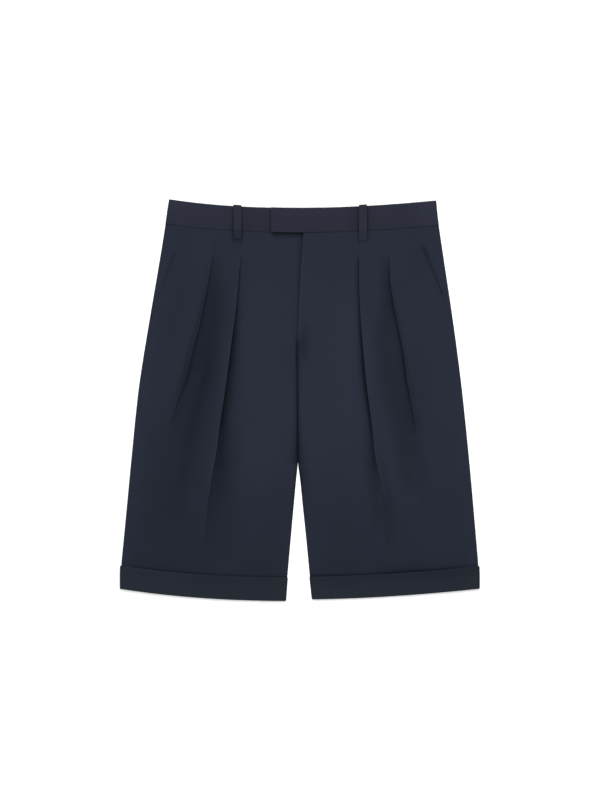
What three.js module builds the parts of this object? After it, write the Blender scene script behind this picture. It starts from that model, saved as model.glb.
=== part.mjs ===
// Tailored bermuda shorts with two forward pleats a side and turn-up cuffs, laid flat, front up.
// Millimetres. +Z is up from the surface that the shorts lie on, +Y runs from the hems to the waist
// and +X is the wearer's left. The origin lies on the surface, in the middle of the outline.
// Each cut piece of cloth is a wall round a middle surface. The surface is worked out row by row,
// where a row is a line of the weave that runs from the middle of the garment out to its side.
// On a row, "out" is the distance from the middle of the outline towards that half's own side.
import * as THREE from "three";

// Driving sizes
const CLOTH = 1; // wall of a panel
const BAND = 2; // wall of the waistband and of the cuffs, which are double cloth
const SEAM_GAP = 0.3; // between two pieces that are sewn together
const LAYER = 1.4; // from the middle of one layer of a pleat to the middle of the next
const LEAST_ARC = 0.9; // length of a fold's bend where the pleat has all but gone
const WAIST_SEAM = 242.6; // height of the waistband's seam at the middle of the garment
const BAND_HEIGHT = 36;
const BAND_RISE = 6.2; // the waistband's two walls lying on each other, and the space between
const CUFF_HEIGHT = 35;
const CUFF_RISE = 7.8; // both walls of a cuff with the leg between them
const CUFF_PROUD = 1.7; // how far a cuff stands out past the line of the side
const CUFF_PROUD_INSIDE = 0.7; // and past the line of the inside leg
const CROTCH = -92;
const CENTRE_BACK = 4; // where the seat seam meets the waistband

// The fly: the left front laps over the right one, and the waistband's tab goes further.
const FLY_FOOT = 84;
const FLY_WIDTH = 42;
const FLY_EASE = 20; // height over which the lap starts, below and above the foot
const UNDERLAP = 12; // cloth of the right half that runs on under the left half
const TAB_REACH = 41.6; // the tab's free end, past the middle of the outline
const TAB_LEVEL = 18; // the waistband is at its full lift up to here
const TAB_SLOPE = 26; // and comes down over this width
const LEVEL_LAP = 0.36; // share of the fly's width that lies level over the underlap

// Levels of the middle surfaces of the panels above the surface that the shorts lie on
const PANEL = 5; // the front panel between its folds
const CREST = 0.1; // how much higher the inner pleat's fold lies
const RIM = 4; // the front panel where it turns down to the side seam
const SIDE_SEAM = 2.2;
const HIP = 3.7; // the hip piece behind the pocket's mouth
const CUFF_EASE = 30; // height over which a leg comes down from its level in the cuff

// The slant pocket
const POCKET_FOOT = 104; // row on which the pocket's mouth meets the side
const MOUTH_START = 6; // the front panel is cut along the mouth from here up
const POCKET_TUCK = 9; // width of the hip piece under the front panel

// The pleats are sewn down from the waist to SEWN_DOWN and run free below SEWN_FREE. The cloth that
// comes to a fold dips in a trough where the pleat is free, and lies close to it where it is sewn:
// "back" is the distance from the fold's edge, and "rise" a share of the fold's height.
const SEWN_DOWN = 214;
const SEWN_FREE = 198;
const FREE_TROUGH = [
  { back: 13, rise: 0.55 },
  { back: 4.5, rise: 0.12 },
  { back: 0.8, rise: 0 },
];
const SEWN_TROUGH = [
  { back: 2.7, rise: 1 },
  { back: 1.3, rise: 0.45 },
  { back: -0.4, rise: 0 },
];
const PAST_FOLD = 1.5; // cloth that stays level past the end of a pleat's hidden layers

// Belt loops. Those at the back are thinner, and the cloth over them is lifted.
const LOOP_WIDTH = 11.6;
const LOOP_CLOTH = 1.4;
const LOOP_ABOVE = 2; // how far a loop stands above the waistband
const LOOP_ROUND = 1.6; // height of the rounding at a front loop's foot and top
const LOOP_FOOT_WIDTH = 9.2;
const LOOP_TOP_BEND = 0.6; // how far its top bends down
const LOOP_DROOP = 0.12; // how far its long edges lie below its middle
const STEP_FOOT = WAIST_SEAM - 3; // it steps up from the panel to the waistband between these
const STEP_TOP = WAIST_SEAM - 0.5;
const BACK_LOOP_CLOTH = 1.2;
const BACK_LOOP_DROP = 12;
const BACK_LOOP_BELOW = 0.6; // how far its top stays below the waistband's top edge
const SIDE_LOOP = 163; // from centre back to the loops behind the sides
const LIFT = BACK_LOOP_CLOTH + SEAM_GAP;
const LIFT_FULL = 7.5; // half the width of full lift
const LIFT_ENDS = 15; // half the width of any lift

// The two halves. A row rises towards the side by its bow, which changes from the hem to the waist.
const LEFT = { name: "left", sign: 1, hem: -289.1, hemBow: 15.5, waistBow: 10.8, power: 1.8 };
const RIGHT = { name: "right", sign: -1, hem: -291.4, hemBow: 17.5, waistBow: 12.6, power: 2.3 };

// The outline: at each height, how far out the side lies on the left and on the right.
const SIDE_LINE = [
  { y: -280, left: 259.4, right: 259.4 },
  { y: -240, left: 258.9, right: 258.9 },
  { y: -180, left: 254.1, right: 253.4 },
  { y: -94, left: 246.5, right: 245.2 },
  { y: -14, left: 238.5, right: 237.3 },
  { y: 30, left: 233.6, right: 232.0 },
  { y: 116, left: 222.2, right: 218.1 },
  { y: 203, left: 209.2, right: 203.3 },
  { y: 247, left: 202.7, right: 196.2 },
  { y: 268, left: 200.0, right: 193.3 },
  { y: 291, left: 197.8, right: 189.8 },
];

// The inner edge: below the crotch the inside leg, and above it the seams at centre front and back.
const INNER_LINE = [
  { y: -291, left: 18.2, right: 20.4 },
  { y: -252, left: 14.1, right: 17.5 },
  { y: -203, left: 9.4, right: 13.2 },
  { y: -160, left: 4.9, right: 9.3 },
  { y: -116, left: 0.4, right: 5.2 },
  { y: -92, left: -3.0, right: 3.3 },
  { y: -84, left: -3.3, right: 3.6 },
  { y: -40, left: -3.7, right: 4.0 },
  { y: 20, left: -4.2, right: 4.5 },
  { y: 75, left: -4.2, right: 4.5 },
  { y: 112, left: -3.5, right: 3.8 },
  { y: 156, left: -1.8, right: 2.1 },
  { y: 191, left: -0.4, right: 0.7 },
  { y: 243, left: 4.1, right: -3.8 },
];

// The mouth of the slant pocket
const POCKET_LINE = [
  { y: 100, left: 223.6, right: 219.2 },
  { y: 119, left: 219.6, right: 215.4 },
  { y: 178, left: 196.6, right: 195.2 },
  { y: 254, left: 165.6, right: 168.0 },
];

// The pleats: at each height, how far out the fold lies, how much cloth lies under it, and how far
// the cloth turns at the fold, which is 180 where it lies back on itself and 0 where it is flat.
const INNER_PLEAT = [
  { y: -291, left: 135.5, right: 147.5, under: 1.6, turn: 4 },
  { y: -250, left: 133.0, right: 144.5, under: 1.6, turn: 8 },
  { y: -209, left: 129.0, right: 139.2, under: 1.6, turn: 38 },
  { y: -150, left: 121.6, right: 133.4, under: 1.6, turn: 60 },
  { y: -110, left: 114.7, right: 127.5, under: 1.2, turn: 105 },
  { y: -80, left: 109.2, right: 121.8, under: 2, turn: 180 },
  { y: -40, left: 103.3, right: 115.3, under: 4, turn: 180 },
  { y: 20, left: 95.3, right: 105.0, under: 8.5, turn: 180 },
  { y: 74, left: 90.6, right: 97.8, under: 13, turn: 180 },
  { y: 119, left: 87.0, right: 92.4, under: 16.5, turn: 180 },
  { y: 165, left: 85.0, right: 88.4, under: 19.5, turn: 180 },
  { y: 213, left: 85.2, right: 85.5, under: 21.5, turn: 180 },
  { y: 243, left: 85.8, right: 83.6, under: 22, turn: 180 },
];
const OUTER_PLEAT = [
  { y: -291, left: 197.0, right: 204.0, under: 1.6, turn: 0 },
  { y: -150, left: 186.0, right: 197.0, under: 1.6, turn: 0 },
  { y: -40, left: 173.0, right: 186.0, under: 1.6, turn: 20 },
  { y: 0, left: 166.4, right: 176.4, under: 1.6, turn: 70 },
  { y: 30, left: 158.9, right: 165.5, under: 1.2, turn: 110 },
  { y: 50, left: 154.8, right: 160.2, under: 3, turn: 180 },
  { y: 77, left: 149.2, right: 153.6, under: 5.5, turn: 180 },
  { y: 109, left: 141.4, right: 144.8, under: 8, turn: 180 },
  { y: 140, left: 135.2, right: 138.2, under: 10.5, turn: 180 },
  { y: 174, left: 130.8, right: 131.8, under: 12.5, turn: 180 },
  { y: 213, left: 129.8, right: 125.4, under: 14, turn: 180 },
  { y: 243, left: 130.6, right: 120.6, under: 14, turn: 180 },
];

// How much of a full quarter turn the edges at the centre make, in front and at the back
const CENTRE_TURN = [
  { y: -92, front: 1, back: 1 },
  { y: -62, front: 0.9, back: 0.3 },
  { y: -33, front: 0.75, back: 0 },
  { y: 25, front: 0.5, back: 0 },
  { y: 55, front: 0.3, back: 0 },
  { y: 84, front: 0, back: 0 },
];

const FRONT_LOOPS = [
  { name: "belt_loop_front_left", half: LEFT, at: 91.5, drop: 14 },
  { name: "belt_loop_front_right", half: RIGHT, at: 90.4, drop: 11 },
];
const BACK_LOOPS = [
  { name: "belt_loop_back_left", half: LEFT, at: SIDE_LOOP + CENTRE_BACK },
  { name: "belt_loop_back_right", half: RIGHT, at: SIDE_LOOP - CENTRE_BACK },
  { name: "belt_loop_centre_back", half: LEFT, at: CENTRE_BACK },
];

const PANEL_NAVY = 0x2a2f3b;
const BAND_NAVY = 0x2d323e;
const CUFF_NAVY = 0x282c35;

const mix = (from, to, share) => from + (to - from) * share;
const clamp = (value) => Math.min(1, Math.max(0, value));
const ease = (value) => clamp(value) ** 2 * (3 - 2 * clamp(value));

// A column of a table at any height, on a smooth curve through the table's rows
function read(table, column, y) {
  const last = table.length - 1;
  if (y <= table[0].y) return table[0][column];
  if (y >= table[last].y) return table[last][column];
  const i = table.findIndex((row) => row.y > y) - 1;
  const slope = (k) => {
    const below = table[Math.max(k - 1, 0)];
    const above = table[Math.min(k + 1, last)];
    return (above[column] - below[column]) / (above.y - below.y);
  };
  const step = table[i + 1].y - table[i].y;
  const t = (y - table[i].y) / step;
  const start = table[i][column] * (1 + 2 * t) + slope(i) * step * t;
  const end = table[i + 1][column] * (3 - 2 * t) + slope(i + 1) * step * (t - 1);
  return start * (1 - t) ** 2 + end * t ** 2;
}

// The same column on straight lines, for what must not swing past its rows
function readStraight(table, column, y) {
  const above = table.findIndex((row) => row.y > y);
  if (above === 0) return table[0][column];
  if (above < 0) return table.at(-1)[column];
  const [from, to] = [table[above - 1], table[above]];
  return mix(from[column], to[column], (y - from.y) / (to.y - from.y));
}

// How far a row rises from the middle to the side, and the height that it has on its way
function bow(half, row) {
  return mix(half.hemBow, half.waistBow, clamp((row - half.hem) / (WAIST_SEAM - half.hem)));
}
const sideOf = (half, row) => read(SIDE_LINE, half.name, row + bow(half, row));
function heightOn(half, row, out) {
  return row + bow(half, row) * (Math.abs(out) / sideOf(half, row)) ** half.power;
}

// The height at which a line of a table crosses a row
function crossing(table, half, row) {
  let y = row;
  for (let pass = 0; pass < 4; pass += 1) y = heightOn(half, row, read(table, half.name, y));
  return y;
}

// A point moved square to a section, to the left of the way that the section runs
function moved(points, index, shift, closed) {
  const last = points.length - 1;
  const here = points[index];
  const before = closed ? points.at(index - 1) : points[Math.max(index - 1, 0)];
  const after = closed ? points[(index + 1) % points.length] : points[Math.min(index + 1, last)];
  const way = (from, to) => new THREE.Vector2(to.out - from.out, to.z - from.z).normalize();
  const arriving = way(before, here);
  const leaving = way(here, after);
  const mean = arriving.clone().add(leaving).normalize();
  const corner = Math.max(mean.dot(leaving), mean.dot(arriving));
  const reach = shift / Math.max(corner, 0.85);
  return { out: here.out - mean.y * reach, z: here.z + mean.x * reach };
}

// A wall of cloth on a stack of rows. Its outer face lies to the left of each row's section.
function wallGeometry(half, rows, sectionAt, thickness, closed = false) {
  const positions = [];
  for (const row of rows) {
    const points = sectionAt(row);
    for (const shift of [thickness / 2, -thickness / 2]) {
      points.forEach((point, index) => {
        const { out, z } = moved(points, index, shift, closed);
        positions.push(half.sign * out, heightOn(half, row, out), z);
      });
    }
  }
  const count = sectionAt(rows[0]).length;
  const outer = (i, j) => 2 * i * count + (j % count);
  const inner = (i, j) => (2 * i + 1) * count + (j % count);
  const indices = [];
  const quad = (a, b, c, d) => {
    if (half.sign > 0) indices.push(a, b, c, a, c, d);
    else indices.push(a, c, b, a, d, c);
  };
  const top = rows.length - 1;
  const spans = closed ? count : count - 1;
  for (let j = 0; j < spans; j += 1) {
    for (let i = 0; i < top; i += 1) {
      quad(outer(i, j), outer(i, j + 1), outer(i + 1, j + 1), outer(i + 1, j));
      quad(inner(i, j), inner(i + 1, j), inner(i + 1, j + 1), inner(i, j + 1));
    }
    quad(outer(0, j), inner(0, j), inner(0, j + 1), outer(0, j + 1));
    quad(outer(top, j), outer(top, j + 1), inner(top, j + 1), inner(top, j));
  }
  for (let i = 0; i < top && !closed; i += 1) {
    const end = count - 1;
    quad(outer(i, 0), outer(i + 1, 0), inner(i + 1, 0), inner(i, 0));
    quad(outer(i, end), inner(i, end), inner(i + 1, end), outer(i + 1, end));
  }
  const geometry = new THREE.BufferGeometry();
  geometry.setAttribute("position", new THREE.Float32BufferAttribute(positions, 3));
  geometry.setIndex(indices);
  geometry.computeVertexNormals();
  return geometry;
}

// Rows between the given heights, with no step longer than a limit
function rowsThrough(heights, limit) {
  const rows = [heights[0]];
  for (let i = 1; i < heights.length; i += 1) {
    const steps = Math.ceil((heights[i] - heights[i - 1]) / limit - 0.01);
    for (let k = 1; k <= steps; k += 1) rows.push(mix(heights[i - 1], heights[i], k / steps));
  }
  return rows;
}

// Walks along a section, where each step has a length and the angle that it turns through
function walk(steps) {
  const points = [{ out: 0, z: 0 }];
  let heading = 0;
  for (const { length, angle } of steps) {
    const chord = Math.abs(angle) < 1e-6 ? length : (length * Math.sin(angle / 2)) / (angle / 2);
    const { out, z } = points.at(-1);
    heading += angle / 2;
    points.push({ out: out + chord * Math.cos(heading), z: z + chord * Math.sin(heading) });
    heading += angle / 2;
  }
  return points;
}

// An edge that leaves a level and turns down to a seam: a quarter turn, or a share of one
function edgeTurn(radius, share, end, level) {
  const steps = 3;
  const angle = Math.PI / 2 / steps;
  const points = walk(Array(steps).fill({ length: radius * angle, angle: -angle * share }));
  const shift = end - points.at(-1).out;
  return points.map(({ out, z }) => ({ out: out + shift, z: level + z }));
}

// How far inside an edge's outer face the middle surface lies, for a share of a quarter turn
const faceDepth = (share) => (CLOTH / 2) * Math.sin((share * Math.PI) / 2);

// The same edge facing the other way, for the inside leg and the centre
function innerTurn(radius, share, end, level) {
  return edgeTurn(radius, share, -end, level)
    .map(({ out, z }) => ({ out: -out, z }))
    .reverse();
}

// Points on the way between two others, whose height eases from one to the other
function between(from, to, shares, easing = ease) {
  return shares.map((share) => ({
    out: mix(from.out, to.out, share),
    z: mix(from.z, to.z, easing(share)),
  }));
}

// How much a row belongs to the cuff: 1 in it, and 0 where the leg lies on the surface again
const cuffTop = (half) => half.hem + CUFF_HEIGHT;
const cuffShare = (half, row) => 1 - ease((row - cuffTop(half)) / CUFF_EASE);

// Where the edges of a leg's panels lie on a row: inside the cuff, its wall draws them in
function edges(half, row) {
  const side = sideOf(half, row);
  const inner = read(INNER_LINE, half.name, row);
  if (row > cuffTop(half) + 0.1) return { side, inner };
  const wall = BAND + SEAM_GAP;
  return { side: side + CUFF_PROUD - wall, inner: inner - CUFF_PROUD_INSIDE + wall };
}

// The heights of a leg's panels on a row
function levels(half, row) {
  const share = cuffShare(half, row);
  const cuffMiddle = CUFF_RISE / 2;
  const legHalf = cuffMiddle - BAND - SEAM_GAP - CLOTH / 2;
  return {
    back: mix(CLOTH / 2, cuffMiddle - legHalf, share),
    seam: mix(SIDE_SEAM, cuffMiddle, share),
    rim: mix(RIM, cuffMiddle + legHalf, share),
    panel: mix(PANEL, cuffMiddle + legHalf, share),
  };
}

// A pleat on a row. The cloth comes to the fold from the middle, runs on under it, turns up and
// back to the fold's edge, and turns out again. "clear" is where its hidden layers end.
function pleat(table, half, row, top) {
  const y = crossing(table, half, row);
  const steps = 3;
  const turn = THREE.MathUtils.degToRad(readStraight(table, "turn", y));
  const arc = Math.max((LAYER / 2) * turn, LEAST_ARC) / steps;
  const under = readStraight(table, "under", y);
  const up = Array(steps).fill({ length: arc, angle: turn / steps });
  const down = Array(steps).fill({ length: arc, angle: -turn / steps });
  const path = walk([...up, { length: under, angle: 0 }, ...down]);
  const foldEdge = Math.min(...path.slice(steps + 1).map((point) => point.out));
  const edge = read(table, half.name, y);
  const rise = path.at(-1).z;
  const fold = path.map(({ out, z }) => ({ out: edge - foldEdge + out, z: top - rise + z }));
  const low = fold[0].z;
  const nearest = Math.min(edge, fold[0].out);
  const share = ease((y - SEWN_FREE) / (SEWN_DOWN - SEWN_FREE));
  const approach = FREE_TROUGH.map((free, k) => ({
    out: nearest - mix(free.back, SEWN_TROUGH[k].back, share),
    z: low + rise * mix(free.rise, SEWN_TROUGH[k].rise, share),
  }));
  const clear = Math.max(...fold.map((point) => point.out)) + PAST_FOLD;
  return { points: [...approach, ...fold], clear: { out: clear, z: top } };
}

// A front panel, from centre front or the inside leg out to the side or to the pocket's mouth
function frontSection(half, row) {
  const { seam, rim, panel } = levels(half, row);
  const { side, inner } = edges(half, row);
  const radius = rim - seam - SEAM_GAP / 2;

  const share = row <= CROTCH ? 1 : readStraight(CENTRE_TURN, "front", row);
  const onTop = half === LEFT ? LAYER * ease((row - FLY_FOOT + FLY_EASE) / FLY_EASE) : 0;
  const lap = half === RIGHT ? UNDERLAP * ease((row - FLY_FOOT) / FLY_EASE) : 0;
  const start = inner + faceDepth(share) - lap;
  const opening = innerTurn(radius, share, start, mix(panel, rim, share) + onTop);
  const flyEnd = { out: opening.at(-1).out + FLY_WIDTH, z: panel };

  const pleatIn = pleat(INNER_PLEAT, half, row, panel + CREST * (1 - cuffShare(half, row)));
  const pleatOut = pleat(OUTER_PLEAT, half, row, panel);

  const cut = row > POCKET_FOOT;
  const mouth = read(POCKET_LINE, half.name, crossing(POCKET_LINE, half, row));
  const closing = edgeTurn(radius, cut ? 0 : 1, cut ? mouth : side - CLOTH / 2, cut ? panel : rim);

  const afterLap = (part) => ease((part - LEVEL_LAP) / (1 - LEVEL_LAP));
  return [
    ...opening,
    ...between(opening.at(-1), flyEnd, [LEVEL_LAP, 0.6, 0.85, 1], afterLap),
    ...pleatIn.points,
    ...between(pleatIn.points.at(-1), pleatIn.clear, [0.5, 1]),
    ...between(pleatIn.clear, pleatOut.points[0], [0.4]),
    ...pleatOut.points,
    ...between(pleatOut.points.at(-1), pleatOut.clear, [1]),
    ...between(pleatOut.clear, closing[0], [0.3, 0.7]),
    ...closing,
  ];
}

// The hip piece that shows outside the pocket's mouth, and tucks in under the front panel
function hipSection(half, row) {
  const { seam } = levels(half, row);
  const { side } = edges(half, row);
  const mouth = read(POCKET_LINE, half.name, crossing(POCKET_LINE, half, row));
  const radius = HIP - seam - SEAM_GAP / 2;
  const closing = edgeTurn(radius, 1, side - CLOTH / 2, HIP);
  const start = { out: mouth - POCKET_TUCK, z: HIP };
  return [...between(start, closing[0], [0, 0.33, 0.67]), ...closing];
}

// Heights at which the cloth over the back loops starts to lift and is fully lifted
const LIFTED_FROM = WAIST_SEAM - BACK_LOOP_DROP - 1;

// How far the cloth of the back is lifted over the nearest loop
function loopLift(half, row, out) {
  const distances = BACK_LOOPS.map((loop) => Math.abs(half.sign * out - loop.half.sign * loop.at));
  const near = (LIFT_ENDS - Math.min(...distances)) / (LIFT_ENDS - LIFT_FULL);
  return LIFT * clamp(near) * clamp((row - SEWN_DOWN) / (LIFTED_FROM - SEWN_DOWN));
}

// Places along the back at the waist where the lift starts and ends, from the side to the middle
function backPlaces(half) {
  const centre = half.sign * CENTRE_BACK;
  const loop = SIDE_LOOP + centre;
  return [
    loop + LIFT_ENDS,
    loop + LIFT_FULL,
    loop - LIFT_FULL,
    loop - LIFT_ENDS,
    centre + 0.65 * SIDE_LOOP,
    centre + 0.35 * SIDE_LOOP,
    centre + LIFT_ENDS,
    centre + LIFT_FULL,
  ];
}

// A back panel, from the side seam in to the seat seam or the inside leg
function backSection(half, row) {
  const { back, seam } = levels(half, row);
  const { side, inner } = edges(half, row);
  const radius = seam - SEAM_GAP / 2 - back;
  const share = row <= CROTCH ? 1 : readStraight(CENTRE_TURN, "back", row);
  const turnedUp = (points) => points.map(({ out, z }) => ({ out, z: 2 * back - z })).reverse();
  const opening = turnedUp(edgeTurn(radius, 1, side - CLOTH / 2, back));
  const closing = turnedUp(innerTurn(radius, share, inner + faceDepth(share), back));
  const waistSide = sideOf(half, WAIST_SEAM) - CLOTH / 2 - radius;
  const waistInner = read(INNER_LINE, half.name, WAIST_SEAM) + radius * 1.6;
  const middle = backPlaces(half).map((place) => {
    const part = (place - waistInner) / (waistSide - waistInner);
    return { out: mix(closing[0].out, opening.at(-1).out, part), z: back };
  });
  return [...opening, ...middle, ...closing].map(({ out, z }) => ({
    out,
    z: z + loopLift(half, row, out),
  }));
}

// A half of the waistband: its front wall, the fold at the side, and its back wall
function bandSection(half, row) {
  const front = BAND_RISE - BAND / 2;
  const radius = (front - BAND / 2) / 2;
  const tabLift = (out) => {
    if (half === RIGHT) return 0;
    return (BAND + SEAM_GAP) * (1 - ease((out - TAB_LEVEL) / TAB_SLOPE));
  };
  const lapEnd = read(INNER_LINE, "right", WAIST_SEAM) - UNDERLAP;
  const start = half === LEFT ? -TAB_REACH : lapEnd;
  const foldOut = sideOf(half, row) - BAND / 2 - radius;
  const tabEnd = TAB_LEVEL + TAB_SLOPE;
  const frontOuts = [
    start,
    mix(start, TAB_LEVEL, 0.5),
    ...[0, 0.33, 0.67, 1].map((part) => mix(TAB_LEVEL, tabEnd, part)),
    ...[0.25, 0.5, 0.75].map((part) => mix(tabEnd, foldOut, part)),
  ];
  const steps = 6;
  const angle = Math.PI / steps;
  const fold = walk(Array(steps).fill({ length: radius * angle, angle: -angle }));
  const centreBack = half.sign * CENTRE_BACK + SEAM_GAP / 2;
  const frontWall = frontOuts.map((out) => ({ out, z: front + tabLift(out) }));
  const foldWall = fold.map(({ out, z }) => ({ out: foldOut + out, z: front + z }));
  const backWall = [...backPlaces(half), centreBack].map((out) => ({
    out,
    z: BAND / 2 + loopLift(half, row, out),
  }));
  return [...frontWall, ...foldWall, ...backWall];
}

// A cuff: a ring of cloth round the leg
function cuffSection(half, row) {
  const radius = (CUFF_RISE - BAND) / 2;
  const side = sideOf(half, row) + CUFF_PROUD - BAND / 2 - radius;
  const inner = read(INNER_LINE, half.name, row) - CUFF_PROUD_INSIDE + BAND / 2 + radius;
  const steps = 6;
  const points = [];
  const arc = (centre, from) => {
    for (let k = 0; k <= steps; k += 1) {
      const angle = from - (Math.PI * k) / steps;
      const z = CUFF_RISE / 2 + radius * Math.sin(angle);
      points.push({ out: centre + radius * Math.cos(angle), z });
    }
  };
  const along = (from, to, z) => {
    for (const share of [0.2, 0.4, 0.6, 0.8]) points.push({ out: mix(from, to, share), z });
  };
  arc(side, Math.PI / 2);
  along(side, inner, CUFF_RISE / 2 - radius);
  arc(inner, -Math.PI / 2);
  along(inner, side, CUFF_RISE / 2 + radius);
  return points;
}

// A belt loop's strip across its width, with its edges a little rounded down
function loopSection(at, width, level, droop) {
  return [-0.5, -0.36, 0.36, 0.5].map((part) => ({
    out: at + part * width,
    z: level - (Math.abs(part) > 0.4 ? droop : 0),
  }));
}

const shorts = new THREE.Group();
function add(name, geometry, color) {
  const material = new THREE.MeshStandardMaterial({ color, roughness: 0.9, metalness: 0 });
  const mesh = new THREE.Mesh(geometry, material);
  mesh.name = name;
  shorts.add(mesh);
}

for (const half of [LEFT, RIGHT]) {
  const stops = [half.hem + 0.6, cuffTop(half), CROTCH, FLY_FOOT, POCKET_FOOT];
  const upper = [POCKET_FOOT + MOUTH_START, SEWN_FREE, SEWN_DOWN, LIFTED_FROM, WAIST_SEAM];
  const panelRows = rowsThrough([...stops, ...upper], 30);
  const front = wallGeometry(half, panelRows, (row) => frontSection(half, row), CLOTH);
  const back = wallGeometry(half, panelRows, (row) => backSection(half, row), CLOTH);
  add(`front_${half.name}`, front, PANEL_NAVY);
  add(`back_${half.name}`, back, PANEL_NAVY);

  const hipRows = rowsThrough([POCKET_FOOT + MOUTH_START + SEAM_GAP, SEWN_FREE, WAIST_SEAM], 30);
  const hip = wallGeometry(half, hipRows, (row) => hipSection(half, row), CLOTH);
  add(`pocket_${half.name}`, hip, PANEL_NAVY);

  const bandFoot = WAIST_SEAM + SEAM_GAP;
  const bandRows = rowsThrough([bandFoot, WAIST_SEAM + BAND_HEIGHT], 12);
  const band = wallGeometry(half, bandRows, (row) => bandSection(half, row), BAND);
  add(`waistband_${half.name}`, band, BAND_NAVY);

  const cuffRows = rowsThrough([half.hem, cuffTop(half)], 12);
  const cuff = wallGeometry(half, cuffRows, (row) => cuffSection(half, row), BAND, true);
  add(`cuff_${half.name}`, cuff, CUFF_NAVY);
}

const loopTop = WAIST_SEAM + BAND_HEIGHT + LOOP_ABOVE;
for (const { name, half, at, drop } of FRONT_LOOPS) {
  const onPanel = PANEL + CREST + CLOTH / 2 + SEAM_GAP + LOOP_CLOTH / 2;
  const onBand = BAND_RISE + SEAM_GAP + LOOP_CLOTH / 2;
  const foot = WAIST_SEAM - drop;
  const stops = [foot, foot + LOOP_ROUND, STEP_FOOT, STEP_TOP, loopTop - LOOP_ROUND, loopTop];
  const rows = rowsThrough(stops, 20);
  const section = (row) => {
    const width = row === foot ? LOOP_FOOT_WIDTH : LOOP_WIDTH;
    const level = mix(onPanel, onBand, clamp((row - STEP_FOOT) / (STEP_TOP - STEP_FOOT)));
    const bent = row === loopTop ? LOOP_TOP_BEND : 0;
    return loopSection(at, width, level - bent, LOOP_DROOP);
  };
  add(name, wallGeometry(half, rows, section, LOOP_CLOTH), BAND_NAVY);
}
const backLoopTop = WAIST_SEAM + BAND_HEIGHT - BACK_LOOP_BELOW;
for (const { name, half, at } of BACK_LOOPS) {
  const rows = rowsThrough([WAIST_SEAM - BACK_LOOP_DROP, backLoopTop], 18);
  const section = () => loopSection(at, LOOP_WIDTH, BACK_LOOP_CLOTH / 2, 0);
  add(name, wallGeometry(half, rows, section, BACK_LOOP_CLOTH), BAND_NAVY);
}

// The outline's middle goes to the origin.
const outline = new THREE.Box3().setFromObject(shorts);
const middle = outline.getCenter(new THREE.Vector3());
shorts.position.set(-middle.x, -middle.y, -outline.min.z);

export default shorts;
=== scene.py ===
"""Tailored bermuda shorts laid flat, front up, on a pale floor and seen from straight above.

The cloth is worked out in millimetres, with +Z up from the floor, +Y from the hems to the waist and
+X the wearer's left, and put into meshes in metres. Each cut piece is a wall round a middle surface,
which is found row by row: a row is a line of the weave from the middle of the shorts out to a side,
and "out" is the distance from the middle towards that half's own side.
"""
import math
from collections import namedtuple

import bpy
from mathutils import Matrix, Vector, noise


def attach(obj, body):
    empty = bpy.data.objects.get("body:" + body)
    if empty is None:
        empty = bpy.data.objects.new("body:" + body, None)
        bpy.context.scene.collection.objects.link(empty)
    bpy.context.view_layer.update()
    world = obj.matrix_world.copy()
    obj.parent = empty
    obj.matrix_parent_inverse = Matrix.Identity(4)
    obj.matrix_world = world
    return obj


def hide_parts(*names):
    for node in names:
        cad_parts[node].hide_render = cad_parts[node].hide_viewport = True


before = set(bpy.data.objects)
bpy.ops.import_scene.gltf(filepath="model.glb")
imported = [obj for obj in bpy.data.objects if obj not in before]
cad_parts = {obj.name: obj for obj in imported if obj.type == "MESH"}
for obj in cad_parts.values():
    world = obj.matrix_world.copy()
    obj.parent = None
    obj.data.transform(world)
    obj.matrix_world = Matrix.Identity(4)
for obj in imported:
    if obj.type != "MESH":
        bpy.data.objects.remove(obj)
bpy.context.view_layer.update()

MM = 0.001
RIGHT_ANGLE = 90

# Driving sizes, in millimetres
CLOTH = 0.8  # wall of a panel
BAND = 1.9  # wall of the waistband, which is double cloth
SEAM_GAP = 0.3
SEAM_LAP = 0.25  # how far a centre seam's edges run on past the gap, so that the seam is shut
SEAM_CLOSED = 5.0  # height above the crotch over which it shuts
WAIST_LAP = 0.5  # how far the panels run up under the waistband's lower edge
LAYER = 1.4  # from the middle of one layer of a pleat to the middle of the next
LEAST_ARC = 0.9  # length of a fold's bend where the pleat has all but gone
WAIST_SEAM = 242.6
PANEL_TOP = WAIST_SEAM + SEAM_GAP + WAIST_LAP
BAND_HEIGHT = 36.0
BAND_RISE = 6.2  # the waistband's two walls lying on each other
BAND_SWELL = 0.35
CUFF_HEIGHT = 35.0
CUFF_RISE = 7.8  # both walls of a cuff with the leg between them
CUFF_WALL = 2.0
CUFF_SWELL = 0.25
CUFF_PROUD = 1.7  # how far a cuff stands out past the side
CUFF_PROUD_INSIDE = 0.7  # and past the inside leg
CUFF_CLEAR = 0.1  # above its top edge the leg is as wide as it is cut
CUFF_DIP = 0.6  # how far the leg dips beside that edge
CUFF_DIP_WIDTH = 3.0
CROTCH = -92.0
CENTRE_BACK = 4.0  # where the seat seam meets the waistband

# The fly and the waistband's tab
FLY_FOOT = 84.0
FLY_WIDTH = 42.0
FLY_EASE = 20.0  # height over which the lap starts, below and above the foot
UNDERLAP = 12.0  # cloth of the right half that runs on under the left half
TAB_REACH = 41.6  # the tab's free end, past the middle of the outline
TAB_LEVEL = 18.0  # the waistband is at its full lift up to here
TAB_SLOPE = 26.0  # and comes down over this width
TAB_FREE = 3.0  # the tab's lower edge hangs free up to here
LEVEL_LAP = 0.36  # share of the fly's width that lies level over the underlap

# Levels of the panels' middle surfaces above the floor
PANEL = 5.0
LOFT = 1.6  # how much higher the cloth stands away from its seams
LOFT_EDGE = 26.0  # width over which it comes down to a seam
LOWEST = -0.4  # how far below its level a panel may sink
RIM = 4.0
SIDE_SEAM = 2.2
HIP = 3.7
CUFF_EASE = 30.0  # height over which a leg comes down from its level in the cuff

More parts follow.
